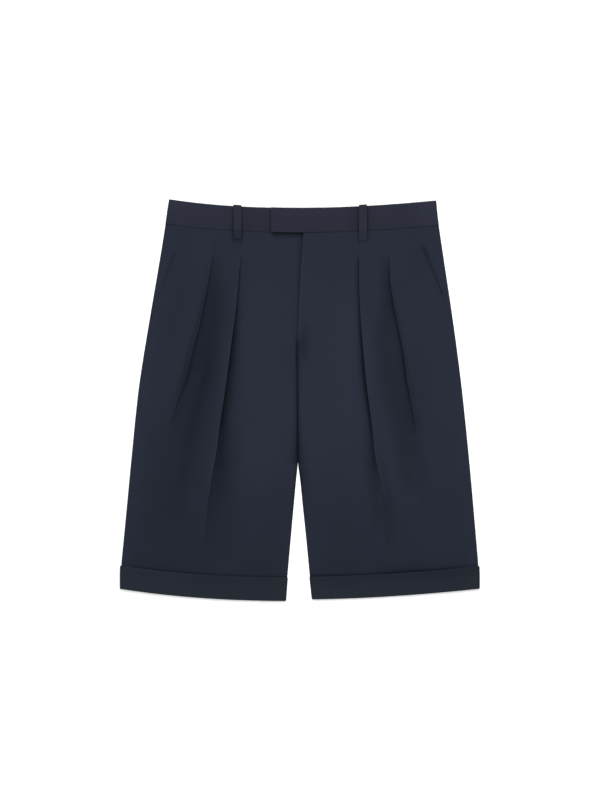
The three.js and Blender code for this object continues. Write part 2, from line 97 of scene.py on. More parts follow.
# The folds and the loft of a front panel settle towards the waistband and the cuff, and a back's too
SETTLE_TOP = 22.0
SETTLE_FOOT = 26.0
SETTLE_FROM = 2.0
BACK_SETTLE_TOP = 20.0
BACK_SETTLE_FOOT = 40.0

# The slant pocket
POCKET_FOOT = 104.0
MOUTH_START = 6.0  # the front panel is cut along the mouth from here up
POCKET_TUCK = 9.0  # width of the hip piece under the front panel
MOUTH_RISE = 40.0  # height over which the cut edge comes up to its full level
MOUTH_SET = 0.6  # the hip piece starts to rise this far inside the mouth's line
HIP_ROOM = 12.0  # and rises fully where this much of it shows
MOUTH_SLOPE = 3.0  # width of its rise where the mouth is open
FLUSH_SLOPE = 0.5  # and where it lies shut
MOST_SLOPE = 0.4  # share of the hip piece's width that the rise may take
MOUTH_TOP = {"left": 226.0, "right": 216.0}
MOUTH_END = {"left": 146.0, "right": 162.0}
MOUTH_OPENS = 8.0  # the mouth comes open over this height below its top
MOUTH_CLOSES = 20.0  # and shuts over this height above its end
RISE_STEPS = (0.1, 0.25, 0.45, 0.7, 1.0)
FIRST_RISE = 0.25

# The pleats
SEWN_DOWN = 212.0  # above this a pleat is sewn down, and below SEWN_FREE it is free
SEWN_FREE = 194.0
INNER_TROUGH = {"left": 6.5, "right": 17.0}  # width of the trough in which the cloth comes to a fold
OUTER_TROUGH = 36.0
CUFF_TROUGH = 4.0
TROUGH_ROOM = 3.0
PAST_FOLD = 1.5  # cloth that stays level past the end of a pleat's hidden layers
HIGHLIGHT_ENDS_PAST = 1.1  # a fold's painted highlight ends this far past it
BENDS = 6  # steps in each of a fold's two bends
UNDER_STEPS = 3  # and in the layer between them
ROLL_HEIGHT = 0.8
ROLL_WIDTH = 9.0
ROLL_CREST = ROLL_WIDTH * 0.6
ROLL_BEHIND = 1.0  # the roll starts this far behind the fold's edge
ROLL_BELOW = 1.0  # and only cloth that lies no deeper than this takes part in it
ROLL_SETTLES = 50.0
HIDDEN_DARK = 0.7  # the cloth under a fold gets little light
HIDDEN_TURN = 1.7  # where the fold turns by more than this, in radians
# Painted highlights along a sewn-down pleat's line and on a free fold's edge
SEWN_HIGHLIGHT = 0.4
SEWN_HIGHLIGHT_WIDTH = 1.6
SEWN_HIGHLIGHT_FADE = 0.6
SEWN_CORNER = 0.12  # a sewn fold's corner is this share as wide as a free one's
FOLD_HIGHLIGHT = 0.3
HIGHLIGHT_FADE = 3  # a painted highlight on an edge fades out in a third of the way to the next place

# Steps of the sections between their main places
TURN_STEPS = 7
FRONT_STEPS = {"fly": 13, "yoke": 8, "past inner": 5, "strip": 4, "past outer": 4, "side": 14}
SIDE_DROP = 2.2
HIP_TUCK_STEPS = 3
HIP_STEPS = 10
HIP_DROP = 2
BACK_STEPS = 64
RING_STEPS = 10
BAND_FRONT_STEPS = 190
BAND_BACK_STEPS = 48
CUFF_BACK_STEPS = 40
CUFF_FRONT_STEPS = 56
PANEL_ROW = 3.6
BACK_ROW = 9.0
HIP_ROW = 5.0
BAND_ROW = 3.0
CUFF_ROW = 3.0
LOOP_ROW = 2.0
BACK_LOOP_ROW = 3.0
ROWS_BY_CUFF = (0.5, 1.1, 1.8, 2.8)
ROWS_BY_WAIST = (0.7, 1.6, 2.6, 4.0, 5.2, 6.8, 8.6)
LEG_END = 0.6  # a leg ends this far above the hem, inside its cuff

# The rounding of a wall's edges, as shares of the rounding's radius, and the least wall left there
RIM_PLACES = (0.12, 0.4, 1.0)
END_PLACES = (0.15, 0.5)
LEAST_WALL = 0.3
SHARPEST = 0.85

# Belt loops, which are strips of double cloth
LOOP_WIDTH = 11.6
LOOP_CLOTH = 1.3
LOOP_ABOVE = 2.0
LOOP_TOP = WAIST_SEAM + BAND_HEIGHT + LOOP_ABOVE
LOOP_BOW = 1.0  # how far a front loop stands off the waistband in its middle
LOOP_STEP = 6.0  # height below the seam over which it steps up to the waistband
LOOP_ROUND = 2.0  # height of the rounding at its foot and its top
LOOP_TOP_BEND = 1.4
LOOP_FOOT_NARROWING = 0.12
LOOP_DROOP = 0.35  # how far its long edges lie below its middle
# Painted highlight along a loop's long edges
LOOP_EDGE_HIGHLIGHT = 0.4
BACK_LOOP_CLOTH = 1.2
BACK_LOOP_DROP = 12.0
BACK_LOOP_BELOW = 0.6  # how far a back loop ends below the waistband's top edge
BACK_LOOP_TOP = WAIST_SEAM + BAND_HEIGHT - BACK_LOOP_BELOW
SIDE_LOOP = 163.0  # from centre back to the loops behind the sides
ACROSS_LOOP = (-0.5, -0.46, -0.38, -0.22, 0.0, 0.22, 0.38, 0.46, 0.5)

# The back is lifted over its loops
LIFT = BACK_LOOP_CLOTH + SEAM_GAP
LIFT_FULL = 7.5  # half the width of full lift
LIFT_ENDS = 15.0  # half the width of any lift
LIFT_START = 214.0
LIFTED_FROM = WAIST_SEAM - BACK_LOOP_DROP - 1
BACK_LOOP_PLACES = (SIDE_LOOP + CENTRE_BACK, CENTRE_BACK - SIDE_LOOP, CENTRE_BACK)

Half = namedtuple("Half", "name sign hem hem_bow waist_bow power cuff_set")
LEFT = Half("left", 1, -289.1, 15.5, 10.8, 1.8, 2.0)
RIGHT = Half("right", -1, -291.4, 17.5, 12.6, 2.3, 1.0)

# A place on a section, with the painted shade that darkens its colour in a fold or beside an edge, and the
# painted highlight that lightens an edge.
Spot = namedtuple("Spot", "out z hollow press", defaults=(0.0, 0.0))

# A slow, slight waviness of laid cloth
Wave = namedtuple("Wave", "seed size span")
PANEL_WAVE = Wave(1.7, 0.9, 46)
FINE_WAVE = Wave(8.3, 0.35, 17)
BAND_WAVE = Wave(3.1, 0.5, 26)
CUFF_WAVE = Wave(5.9, 0.4, 34)
WAVE_LENGTH = 1.6  # along the leg, for 1 across it


def table(columns, *rows):
    """Rows of numbers under named columns."""
    names = columns.split()
    return [dict(zip(names, row)) for row in rows]


SIDE_LINE = table(
    "y left right",
    (-280, 259.4, 259.4),
    (-240, 258.9, 258.9),
    (-180, 254.1, 253.4),
    (-94, 246.5, 245.2),
    (-14, 238.5, 237.3),
    (30, 233.6, 232.0),
    (116, 222.2, 218.1),
    (203, 209.2, 203.3),
    (247, 202.7, 196.2),
    (268, 200.0, 193.3),
    (291, 197.8, 189.8),
)
INNER_LINE = table(
    "y left right",
    (-291, 18.2, 20.4),
    (-252, 14.1, 17.5),
    (-203, 9.4, 13.2),
    (-160, 4.9, 9.3),
    (-116, 0.4, 5.2),
    (-92, -2.6, 2.9),
    (-84, -2.8, 3.1),
    (-40, -3.1, 3.4),
    (20, -3.5, 3.8),
    (75, -3.7, 4.0),
    (112, -3.2, 3.5),
    (156, -1.8, 2.1),
    (191, -0.4, 0.7),
    (243, 4.1, -3.8),
)
POCKET_LINE = table(
    "y left right",
    (100, 223.6, 219.2),
    (119, 219.6, 215.4),
    (178, 196.6, 195.2),
    (254, 165.6, 168.0),
)
# under is how far the pleat runs on below its fold, and turn is the angle that it folds through.
INNER_PLEAT = table(
    "y left right under turn",
    (-291, 135.5, 147.5, 1.6, 4),
    (-250, 133.0, 144.5, 1.6, 8),
    (-209, 130.0, 138.5, 1.6, 26),
    (-150, 122.6, 132.5, 1.6, 42),
    (-110, 115.0, 126.7, 1.2, 72),
    (-80, 108.9, 121.3, 2.0, 180),
    (-40, 104.6, 116.0, 4.0, 180),
    (20, 96.6, 107.0, 8.5, 180),
    (74, 91.4, 99.9, 13.0, 180),
    (119, 87.8, 93.9, 16.5, 180),
    (165, 85.7, 89.1, 19.5, 180),
    (213, 85.7, 85.5, 21.5, 180),
    (243, 85.8, 83.6, 22.0, 180),
)
OUTER_PLEAT = table(
    "y left right under turn",
    (-291, 197.0, 204.0, 1.6, 0),
    (-150, 186.0, 197.0, 1.6, 0),
    (-40, 167.4, 186.0, 1.6, 20),
    (0, 160.4, 175.6, 1.6, 70),
    (30, 154.6, 164.6, 1.2, 110),
    (50, 152.0, 159.6, 3.0, 180),
    (77, 148.0, 153.4, 5.5, 180),
    (109, 141.4, 144.8, 8.0, 180),
    (140, 135.2, 138.2, 10.5, 180),
    (174, 130.8, 131.8, 12.5, 180),
    (213, 129.8, 125.4, 14.0, 180),
    (243, 130.6, 120.6, 14.0, 180),
)
CENTRE_TURN = table(
    "y front back",
    (-92, 1.0, 1.0),
    (-62, 0.9, 0.3),
    (-33, 0.75, 0.0),
    (25, 0.5, 0.0),
    (55, 0.3, 0.0),
    (84, 0.0, 0.0),
)

Loop = namedtuple("Loop", "name half at drop")
FRONT_LOOPS = [
    Loop("belt_loop_front_left", LEFT, 91.5, 14.0),
    Loop("belt_loop_front_right", RIGHT, 90.4, 11.0),
]
BACK_LOOPS = [
    Loop("belt_loop_back_left", LEFT, SIDE_LOOP + CENTRE_BACK, BACK_LOOP_DROP),
    Loop("belt_loop_back_right", RIGHT, SIDE_LOOP - CENTRE_BACK, BACK_LOOP_DROP),
    Loop("belt_loop_centre_back", LEFT, CENTRE_BACK, BACK_LOOP_DROP),
]

# Soft folds, laid one by one. The run goes up the fold, and its share scales the fold's height, which is
# negative in a trough, and how much light the fold takes away as painted shade.
# A fold's dark is painted shade, or painted light where it is negative
Fold = namedtuple("Fold", "half height dark run")
FOLD_ENDS = 2  # a fold is followed out to this many times its width
FOLD_POWER = 2.6  # how squarely it fades across


def soft_fold(half, height, dark, *run):
    return Fold(half, height, dark, table("y out width share", *run))


FRONT_FOLDS = [
    # The trough beside the right leg's outer pleat, and the two streaks that it runs out in, all with
    # painted shade
    soft_fold(
        RIGHT, -1.5, 0.42,
        (-185, 180, 26, 0.0),
        (-150, 176, 24, 0.16),
        (-87, 172, 26, 0.52),
        (-29, 163, 28, 0.65),
        (29, 146, 24, 0.85),
        (87, 133, 18, 1.0),
        (145, 125, 14, 0.76),
        (188, 122, 12, 0.42),
        (212, 116, 12, 0.0),
    ),
    soft_fold(
        RIGHT, -0.8, 0.15,
        (-185, 184, 11, 0.0),
        (-160, 179, 11, 0.4),
        (-87, 165, 9, 0.6),
        (-29, 154, 8, 1.0),
        (29, 138, 7, 1.0),
        (75, 130, 7, 0.0),
    ),
    soft_fold(
        RIGHT, -0.6, 0.12,
        (-60, 193, 10, 0.0),
        (-15, 178, 8, 0.8),
        (29, 166, 6, 1.0),
        (62, 161, 6, 0.0),
    ),
    # The dim strip between those streaks and its inner pleat: a shallow trough with painted shade
    soft_fold(
        RIGHT, -0.3, 0.14,
        (-145, 152, 18, 0.0),
        (-87, 143, 17, 0.6),
        (-29, 134, 15, 1.0),
        (29, 123, 12, 1.0),
        (62, 117, 10, 0.8),
        (100, 110, 10, 0.7),
        (150, 106, 9, 0.7),
        (190, 103, 7, 0.3),
        (206, 102, 6, 0.0),
    ),
    # A shallow trough between its pleats where they are sewn down, with a little painted shade
    soft_fold(RIGHT, -0.3, 0.06, (196, 108, 16, 0.0), (215, 110, 18, 1.0), (240, 112, 18, 0.6)),
    # The trough beside the left leg's outer pleat, and a second one outside its end, both with painted shade
    soft_fold(
        LEFT, -1.2, 0.28,
        (-140, 158, 10, 0.0),
        (-116, 157, 11, 0.66),
        (-87, 153, 13, 0.75),
        (-29, 147, 19, 0.97),
        (29, 131, 18, 0.8),
        (87, 125, 18, 0.85),
        (145, 126, 9, 0.65),
        (185, 125, 6, 0.35),
        (200, 126, 5, 0.0),
    ),
    soft_fold(
        LEFT, -0.5, 0.15,
        (-165, 186, 9, 0.0),
        (-118, 178, 11, 0.8),
        (-75, 172, 10, 1.0),
        (-40, 169, 9, 0.6),
        (-10, 163, 8, 0.0),
    ),
    # The pucker at the foot of the fly, with painted shade
    soft_fold(LEFT, -1.2, 0.28, (50, 8, 5, 0.0), (66, 6, 6, 0.7), (84, 5, 8, 1.0), (112, 7, 8, 0.0)),
    # The lower legs, where the cloth lies a little low, with painted shade, and their inner sides, with
    # painted shade only
    soft_fold(RIGHT, -0.8, 0.13, (-252, 132, 108, 0.5), (-180, 130, 108, 1.0), (-85, 124, 90, 0.0)),
    soft_fold(LEFT, -0.7, 0.06, (-252, 110, 96, 0.8), (-180, 108, 96, 1.0), (-100, 104, 80, 0.0)),
    soft_fold(RIGHT, 0.0, 0.04, (-256, 36, 32, 1.0), (-150, 34, 32, 0.8), (-70, 30, 28, 0.0)),
    soft_fold(
        LEFT, 0.0, 0.06,
        (-256, 52, 38, 1.0),
        (-200, 50, 38, 1.0),
        (-150, 44, 36, 0.7),
        (-80, 36, 30, 0.0),
    ),
    # The shadowed cloth above the left leg's cuff
    soft_fold(LEFT, -0.5, 0.2, (-256, 162, 40, 1.0), (-245, 162, 38, 0.9), (-233, 164, 30, 0.0)),
    # The lower end of the left leg's inner pleat, which is shaded on both its sides
    soft_fold(
        LEFT, 0.0, 0.24,
        (-220, 135, 4, 0.0),
        (-190, 132.5, 5, 0.5),
        (-145, 127.5, 7, 0.8),
        (-125, 124, 7, 0.5),
        (-87, 116.5, 7, 0.45),
        (-55, 109, 5, 0.0),
    ),
    soft_fold(
        LEFT, -0.3, 0.2,
        (-195, 116, 5, 0.0),
        (-160, 112, 7, 0.9),
        (-125, 107, 8, 1.0),
        (-95, 104, 8, 1.0),
        (-78, 103, 6, 0.4),
        (-60, 101, 5, 0.0),
    ),
    # The same on the right leg's
    soft_fold(
        RIGHT, 0.0, 0.1,
        (-170, 106, 9, 0.0),
        (-130, 108, 9, 0.6),
        (-95, 109, 9, 1.0),
        (-70, 107, 8, 0.0),
    ),
    # Where the inner pleats end, their own edges catch a little light
    soft_fold(
        RIGHT, 0.0, -0.12,
        (-145, 132, 3, 0.0),
        (-110, 126.5, 3, 1.0),
        (-60, 118.3, 3, 1.0),
        (-30, 114, 2, 0.0),
    ),
    soft_fold(
        LEFT, 0.0, -0.14,
        (-150, 122.4, 3, 0.0),
        (-125, 117.6, 3, 1.0),
        (-95, 111.8, 3, 1.0),
        (-50, 105.6, 2, 0.0),
    ),
    # The dimness beside the fork
    soft_fold(
        LEFT, 0.0, 0.24,
        (-140, 8, 6, 0.0),
        (-110, 6, 8, 1.0),
        (-97, 4, 7, 0.7),
        (-90, 3, 6, 0.0),
    ),
    # Painted shade just outside the outer pleats' edges, so that they look softly rolled over
    soft_fold(
        RIGHT, 0.0, 0.22,
        (0, 177, 5, 0.0),
        (29, 168.5, 6, 0.65),
        (60, 161.5, 5, 0.9),
        (87, 155, 5, 0.9),
        (145, 139.5, 2.5, 0.9),
        (175, 133.5, 2, 0.0),
    ),
    soft_fold(
        LEFT, 0.0, 0.24,
        (-50, 172, 4, 0.0),
        (-29, 168, 5, 0.4),
        (29, 157, 5, 1.0),
        (87, 147.5, 3, 0.9),
        (145, 136, 2.5, 0.9),
        (175, 132, 2, 0.0),
    ),
    # Painted shade on some broad areas and painted light on others, which leave the cloth's height as it is
    soft_fold(
        RIGHT, 0.0, 0.08,
        (-30, 204, 22, 0.0),
        (90, 190, 26, 1.0),
        (160, 180, 24, 1.0),
        (200, 176, 22, 0.0),
    ),
    soft_fold(
        RIGHT, 0.0, 0.09,
        (-185, 204, 20, 0.0),
        (-140, 208, 20, 1.0),
        (-60, 210, 18, 1.0),
        (-15, 206, 16, 0.0),
    ),
    soft_fold(
        LEFT, 0.0, 0.09,
        (-65, 184, 14, 0.0),
        (-20, 179, 16, 1.0),
        (55, 169, 15, 1.0),
        (95, 165, 13, 0.0),
    ),
    soft_fold(
        LEFT, 0.0, -0.08,
        (0, 106, 8, 0.0),
        (29, 102, 8, 1.0),
        (87, 97, 8, 1.0),
        (130, 93, 6, 0.0),
    ),
    soft_fold(
        LEFT, 0.0, -0.07,
        (-45, 76, 22, 0.0),
        (-10, 68, 24, 1.0),
        (60, 70, 20, 1.0),
        (150, 72, 15, 0.8),
        (195, 68, 14, 0.0),
    ),
    soft_fold(
        RIGHT, 0.0, -0.05,
        (-215, 66, 26, 0.0),
        (-180, 64, 26, 1.0),
        (-60, 62, 28, 1.0),
        (0, 58, 22, 0.0),
    ),
    soft_fold(LEFT, 0.0, -0.05, (-250, 206, 34, 0.6), (-200, 204, 34, 1.0), (-150, 200, 30, 0.0)),
    soft_fold(RIGHT, 0.0, -0.04, (180, 140, 18, 0.0), (205, 138, 16, 1.0), (242, 138, 16, 1.0)),
    soft_fold(LEFT, 0.0, -0.05, (185, 140, 14, 0.0), (205, 142, 16, 1.0), (242, 142, 16, 1.0)),
    # Soft rises and shallow troughs; two of the rises also have a little painted light
    soft_fold(
        RIGHT, 0.8, -0.02,
        (30, 54, 24, 0.0),
        (90, 56, 24, 1.0),
        (150, 58, 24, 1.0),
        (215, 62, 22, 0.0),
    ),
    soft_fold(RIGHT, 0.8, 0.0, (-190, 217, 14, 0.0), (-110, 210, 14, 1.0), (60, 178, 14, 0.0)),
    soft_fold(RIGHT, -0.5, 0.0, (-240, 76, 18, 0.0), (-150, 72, 18, 1.0), (-50, 58, 16, 0.0)),
    soft_fold(
        LEFT, 0.8, -0.02,
        (-20, 56, 24, 0.0),
        (50, 52, 24, 1.0),
        (120, 52, 24, 1.0),
        (180, 52, 22, 0.0),
    ),
    soft_fold(LEFT, 0.8, 0.0, (-200, 205, 14, 0.0), (-110, 198, 14, 1.0), (30, 172, 13, 0.0)),
    soft_fold(LEFT, -0.5, 0.0, (-230, 70, 16, 0.0), (-150, 64, 16, 1.0), (-40, 62, 15, 0.0)),
]
BACK_FOLDS = [
    soft_fold(
        LEFT, 0.5, 0.0,
        (-110, 106, 13, 0.0),
        (-20, 98, 12, 1.0),
        (90, 84, 12, 0.8),
        (180, 70, 12, 0.0),
    ),
    soft_fold(LEFT, 0.45, 0.0, (-170, 182, 14, 0.0), (-60, 170, 14, 1.0), (60, 150, 13, 0.0)),
    soft_fold(LEFT, 0.35, 0.0, (-190, 58, 11, 0.0), (-100, 52, 11, 1.0), (-20, 40, 10, 0.0)),
    soft_fold(
        RIGHT, 0.5, 0.0,
        (-130, 114, 12, 0.0),
        (-30, 104, 12, 1.0),
        (80, 90, 12, 0.7),
        (170, 78, 11, 0.0),
    ),
    soft_fold(RIGHT, 0.45, 0.0, (-180, 188, 15, 0.0), (-70, 174, 14, 1.0), (40, 156, 13, 0.0)),
    soft_fold(RIGHT, 0.35, 0.0, (-200, 62, 12, 0.0), (-90, 52, 11, 1.0), (-10, 44, 10, 0.0)),
]

# Painted shade in broad strips of the waistband, and painted light in one near the left side
BAND_FOLDS = [
    soft_fold(RIGHT, 0.0, 0.08, (240, 60, 24, 1.0), (280, 60, 24, 1.0)),
    soft_fold(LEFT, 0.0, 0.08, (240, 76, 13, 1.0), (280, 76, 13, 1.0)),
    soft_fold(LEFT, 0.0, 0.06, (240, 154, 14, 1.0), (280, 154, 14, 1.0)),
    soft_fold(LEFT, 0.0, -0.07, (240, 192, 14, 1.0), (280, 192, 14, 1.0)),
]

# How far the fly's edge lies past the middle line
FLY_SET = table("y set", (60, 0.0), (84, 1.0), (112, 1.8), (156, 2.2), (203, 3.0), (225, 2.4), (243, 1.4))

# How much of the light is lost beside an edge, and how far from the edge that reaches
SHADE = "y dark reach"
INNER_SHADE = {
    "left": table(
        SHADE,
        (-150, 0.0, 8.0),
        (-116, 0.16, 12.0),
        (-87, 0.32, 13.0),
        (-60, 0.54, 8.0),
        (-29, 0.78, 5.2),
        (29, 0.88, 5.8),
        (58, 0.88, 5.4),
        (87, 0.82, 4.0),
        (145, 0.62, 1.7),
        (200, 0.52, 1.1),
        (210, 0.0, 1.4),
    ),
    "right": table(
        SHADE,
        (-270, 0.0, 20.0),
        (-200, 0.08, 20.0),
        (-160, 0.22, 20.0),
        (-120, 0.42, 24.0),
        (-87, 0.56, 25.0),
        (-29, 0.86, 12.5),
        (29, 0.78, 11.5),
        (58, 0.89, 10.2),
        (87, 0.85, 8.2),
        (145, 0.66, 3.3),
        (188, 0.5, 1.8),
        (202, 0.0, 1.6),
    ),
}
OUTER_SHADE = {
    "left": table(
        SHADE,
        (-60, 0.0, 10.0),
        (-29, 0.24, 9.0),
        (29, 0.44, 9.0),
        (87, 0.42, 6.0),
        (145, 0.44, 6.0),
        (188, 0.4, 4.0),
        (204, 0.0, 3.0),
    ),
    "right": table(
        SHADE,
        (0, 0.0, 8.0),
        (29, 0.08, 8.0),
        (60, 0.24, 7.0),
        (87, 0.32, 6.0),
        (145, 0.34, 4.0),
        (188, 0.24, 3.0),
        (206, 0.0, 3.0),
    ),
}
FLY_SHADE = table(
    SHADE,
    (62, 0.0, 2.6),
    (80, 0.42, 2.8),
    (116, 0.5, 3.0),
    (145, 0.62, 3.0),
    (203, 0.6, 4.6),
    (232, 0.5, 5.0),
    (243, 0.24, 5.0),
)
SEAM_SHADE = table(
    SHADE,
    (-95, 0.9, 6.0),
    (-60, 0.88, 3.5),
    (-29, 0.86, 2.1),
    (29, 0.87, 1.9),
    (62, 0.88, 2.3),
    (84, 0.4, 2.2),
    (96, 0.0, 2.2),
)
MOUTH_SHADE = {
    "left": table(
        SHADE,
        (146, 0.0, 4.0),
        (156, 0.26, 4.0),
        (168, 0.2, 3.2),
        (205, 0.22, 3.6),
        (220, 0.32, 3.8),
        (226, 0.0, 3.4),
    ),
    "right": table(SHADE, (160, 0.0, 4.0), (178, 0.18, 4.0), (206, 0.22, 4.0), (215, 0.0, 3.4)),
}
# Light lost close beside an edge, and how far that reaches. A light is taken off, for a pale edge.
Close = namedtuple("Close", "dark reach")
INSIDE_LEG_SHADE = Close(0.4, 3.6)
SEAT_SEAM_SHADE = Close(0.3, 2.0)
WAIST_SHADE = Close(0.2, 0.8)
WAIST_LIGHT = Close(0.16, 1.0)
LOOP_SHADE = Close(0.42, 2.4)
LOOP_WIDE_SHADE = Close(0.12, 12)
TAB_END_SHADE = Close(0.34, 2.4)
TAB_END_WIDE_SHADE = Close(0.08, 8)
FLY_LIGHT = Close(0.2, 1.5)
TAB_END_LIGHT = Close(0.2, 1.6)
TAB_FOOT_LIGHT = Close(0.2, 1.8)
FLUSH_LIGHT = Close(0.24, 1.0)
SIDE_LIGHT = Close(0.13, 22)
CUFF_TIP_LIGHT = Close(0.08, 18.0)
WAIST_SHADE_AT = 0.4
WAIST_LIGHT_AT = 2.2
INSIDE_LEG_FROM = -190.0
INSIDE_LEG_RUN = 90.0
SEAM_SHADE_FROM = CROTCH - 3
SEAM_SHADE_POWER = 1.1
SHADE_POWER = 1.5
SHADE_STARTS = 0.5  # a shade starts this far behind its edge
CLOSE_STARTS = 0.3
FLUSH_FROM = 4.0
TAB_SHADE = 0.7
TAB_SHADE_REACH = 9.5
TAB_SHADE_END = 2.0
HIP_MOUTH = {"left": 1.3, "right": 0.5}  # share of the mouth's shade that falls on the hip piece
FOOT_SHADE_REACH = {"left": 2.4, "right": 6.5}
FOOT_DARK = {"left": 0.05, "right": 0.2}
FOOT_DARK_TOP = 5.0
FOOT_DARK_RUN = 4.0
BAND_LIGHT = 0.14  # painted light: the waistband is lighter towards its top, from a share of its height on
BAND_LIGHT_FROM = 0.3
BAND_SIDE_FROM = 130.0
BAND_SIDE_RUN = 60.0
CUFF_SHADE = {"left": 0.54, "right": 0.36}
CUFF_SHADE_REACH = 2.6
BACK_CUFF_SHADE_REACH = 2.4
CUFF_LINE_FADE = 0.6
CUFF_LINE_FADE_FROM = 222.0
CUFF_LINE_FADE_RUN = 25.0
CUFF_TOP_DARK = {"left": 0.17, "right": 0.07}
CUFF_TOP_DARK_FROM = 0.4
CUFF_TOP_DARK_RUN = 0.5
CUFF_HEM_LIGHT = 0.12
CUFF_END_LIGHT = 0.13
CUFF_END_FROM = {"left": 222.0, "right": 140.0}
CUFF_END_RUN = 40.0
MOST_DARK = 0.93


def mix(a, b, share):
    return a + (b - a) * share


def clamp(value):
    return min(1.0, max(0.0, value))


def ease(value):
    t = clamp(value)
    return t * t * (3 - 2 * t)


def read(rows, column, y):
    """A column of a table at any height, on a smooth curve through the table's rows."""
    last = len(rows) - 1
    if y <= rows[0]["y"]:
        return rows[0][column]
    if y >= rows[last]["y"]:
        return rows[last][column]
    i = next(k for k, row in enumerate(rows) if row["y"] > y) - 1

    def slope(k):
        below, above = rows[max(k - 1, 0)], rows[min(k + 1, last)]
        return (above[column] - below[column]) / (above["y"] - below["y"])

    step = rows[i + 1]["y"] - rows[i]["y"]
    t = (y - rows[i]["y"]) / step
    start = rows[i][column] * (1 + 2 * t) + slope(i) * step * t
    end = rows[i + 1][column] * (3 - 2 * t) + slope(i + 1) * step * (t - 1)
    return start * (1 - t) ** 2 + end * t ** 2


def read_straight(rows, column, y):
    """The same column on straight lines, for what must not swing past its rows."""
    above = next((k for k, row in enumerate(rows) if row["y"] > y), len(rows))
    if above == 0:
        return rows[0][column]
    if above == len(rows):
        return rows[-1][column]
    a, b = rows[above - 1], rows[above]
    return mix(a[column], b[column], (y - a["y"]) / (b["y"] - a["y"]))


def bow(half, row):
    return mix(half.hem_bow, half.waist_bow, clamp((row - half.hem) / (WAIST_SEAM - half.hem)))


def side_of(half, row):
    return read(SIDE_LINE, half.name, row + bow(half, row))


def height_on(half, row, out):
    return row + bow(half, row) * (abs(out) / side_of(half, row)) ** half.power


def crossing(rows, half, row):
    """The height at which a line of a table crosses a row."""
    y = row
    for _ in range(4):
        y = height_on(half, row, read(rows, half.name, y))
    return y


def walk(steps):
    """Points along a section, where each step has a length and the angle it turns through."""
    points = [(0.0, 0.0)]
    heading = 0.0
    for length, angle in steps:
        chord = length if abs(angle) < 1e-6 else length * math.sin(angle / 2) / (angle / 2)
        out, z = points[-1]
        heading += angle / 2
        points.append((out + chord * math.cos(heading), z + chord * math.sin(heading)))
        heading += angle / 2
    return points


def edge_turn(radius, share, end, level):
    """An edge that leaves a level and turns down to a seam, by a share of a quarter turn."""
    angle = math.pi / 2 / TURN_STEPS
    points = walk([(radius * angle, -angle * share)] * TURN_STEPS)
    shift = end - points[-1][0]
    return [Spot(out + shift, level + z) for out, z in points]


def inner_turn(radius, share, end, level):
    """The same edge facing the other way."""
    return [spot._replace(out=-spot.out) for spot in edge_turn(radius, share, -end, level)][::-1]


def face_depth(share, wall=CLOTH):
    return wall / 2 * math.sin(share * math.pi / 2)


def between(start, end, count, easing=ease):
    """Spots on the way between two others, both left out."""
    spots = []
    for k in range(1, count + 1):
        t = k / (count + 1)
        faded = clamp(HIGHLIGHT_FADE * t) if end.press == 0 else t
        spots.append(Spot(
            mix(start.out, end.out, t),
            mix(start.z, end.z, easing(t)),
            mix(start.hollow, end.hollow, t),
            mix(start.press, end.press, faded),
        ))
    return spots


def cuff_top(half):
    return half.hem + CUFF_HEIGHT - half.cuff_set


def cuff_share(half, row):
    return 1 - ease((row - cuff_top(half)) / CUFF_EASE)


def edges(half, row):
    """Where the outer and inner edges of a leg's panels lie: the cuff's wall draws them in."""
    side = side_of(half, row)
    inner = read(INNER_LINE, half.name, row)
    if row > cuff_top(half) + CUFF_CLEAR:
        return side, inner
    wall = CUFF_WALL + SEAM_GAP
    return side + CUFF_PROUD - wall, inner - CUFF_PROUD_INSIDE + wall


def levels(half, row):
    """Heights of the back, the side seam, the rim and the front panel."""
    share = cuff_share(half, row)
    middle = CUFF_RISE / 2
    leg = middle - CUFF_WALL - SEAM_GAP - CLOTH / 2
    return (
        mix(CLOTH / 2, middle - leg, share),
        mix(SIDE_SEAM, middle, share),
        mix(RIM, middle + leg, share),
        mix(PANEL, middle + leg, share),
    )


# How far back from a fold's edge the cloth that comes to it is followed, as shares of the trough
# where the pleat is free, and in millimetres with shares of the fold's rise where it is sewn down.
# There the last step laps a little into the fold, so that its line is shut.
FREE_STEPS = (1.0, 0.88, 0.76, 0.65, 0.54, 0.44, 0.35, 0.27, 0.2, 0.14, 0.08, 0.03)
SEWN_STEPS = (
    (12.0, 1.0), (9.5, 1.0), (7.2, 1.0), (5.4, 1.0), (4.0, 1.0), (2.9, 1.0),
    (2.0, 1.0), (1.2, 1.0), (0.74, 0.96), (0.6, 0.5), (0.5, 0.12), (-0.4, 0.0),
)


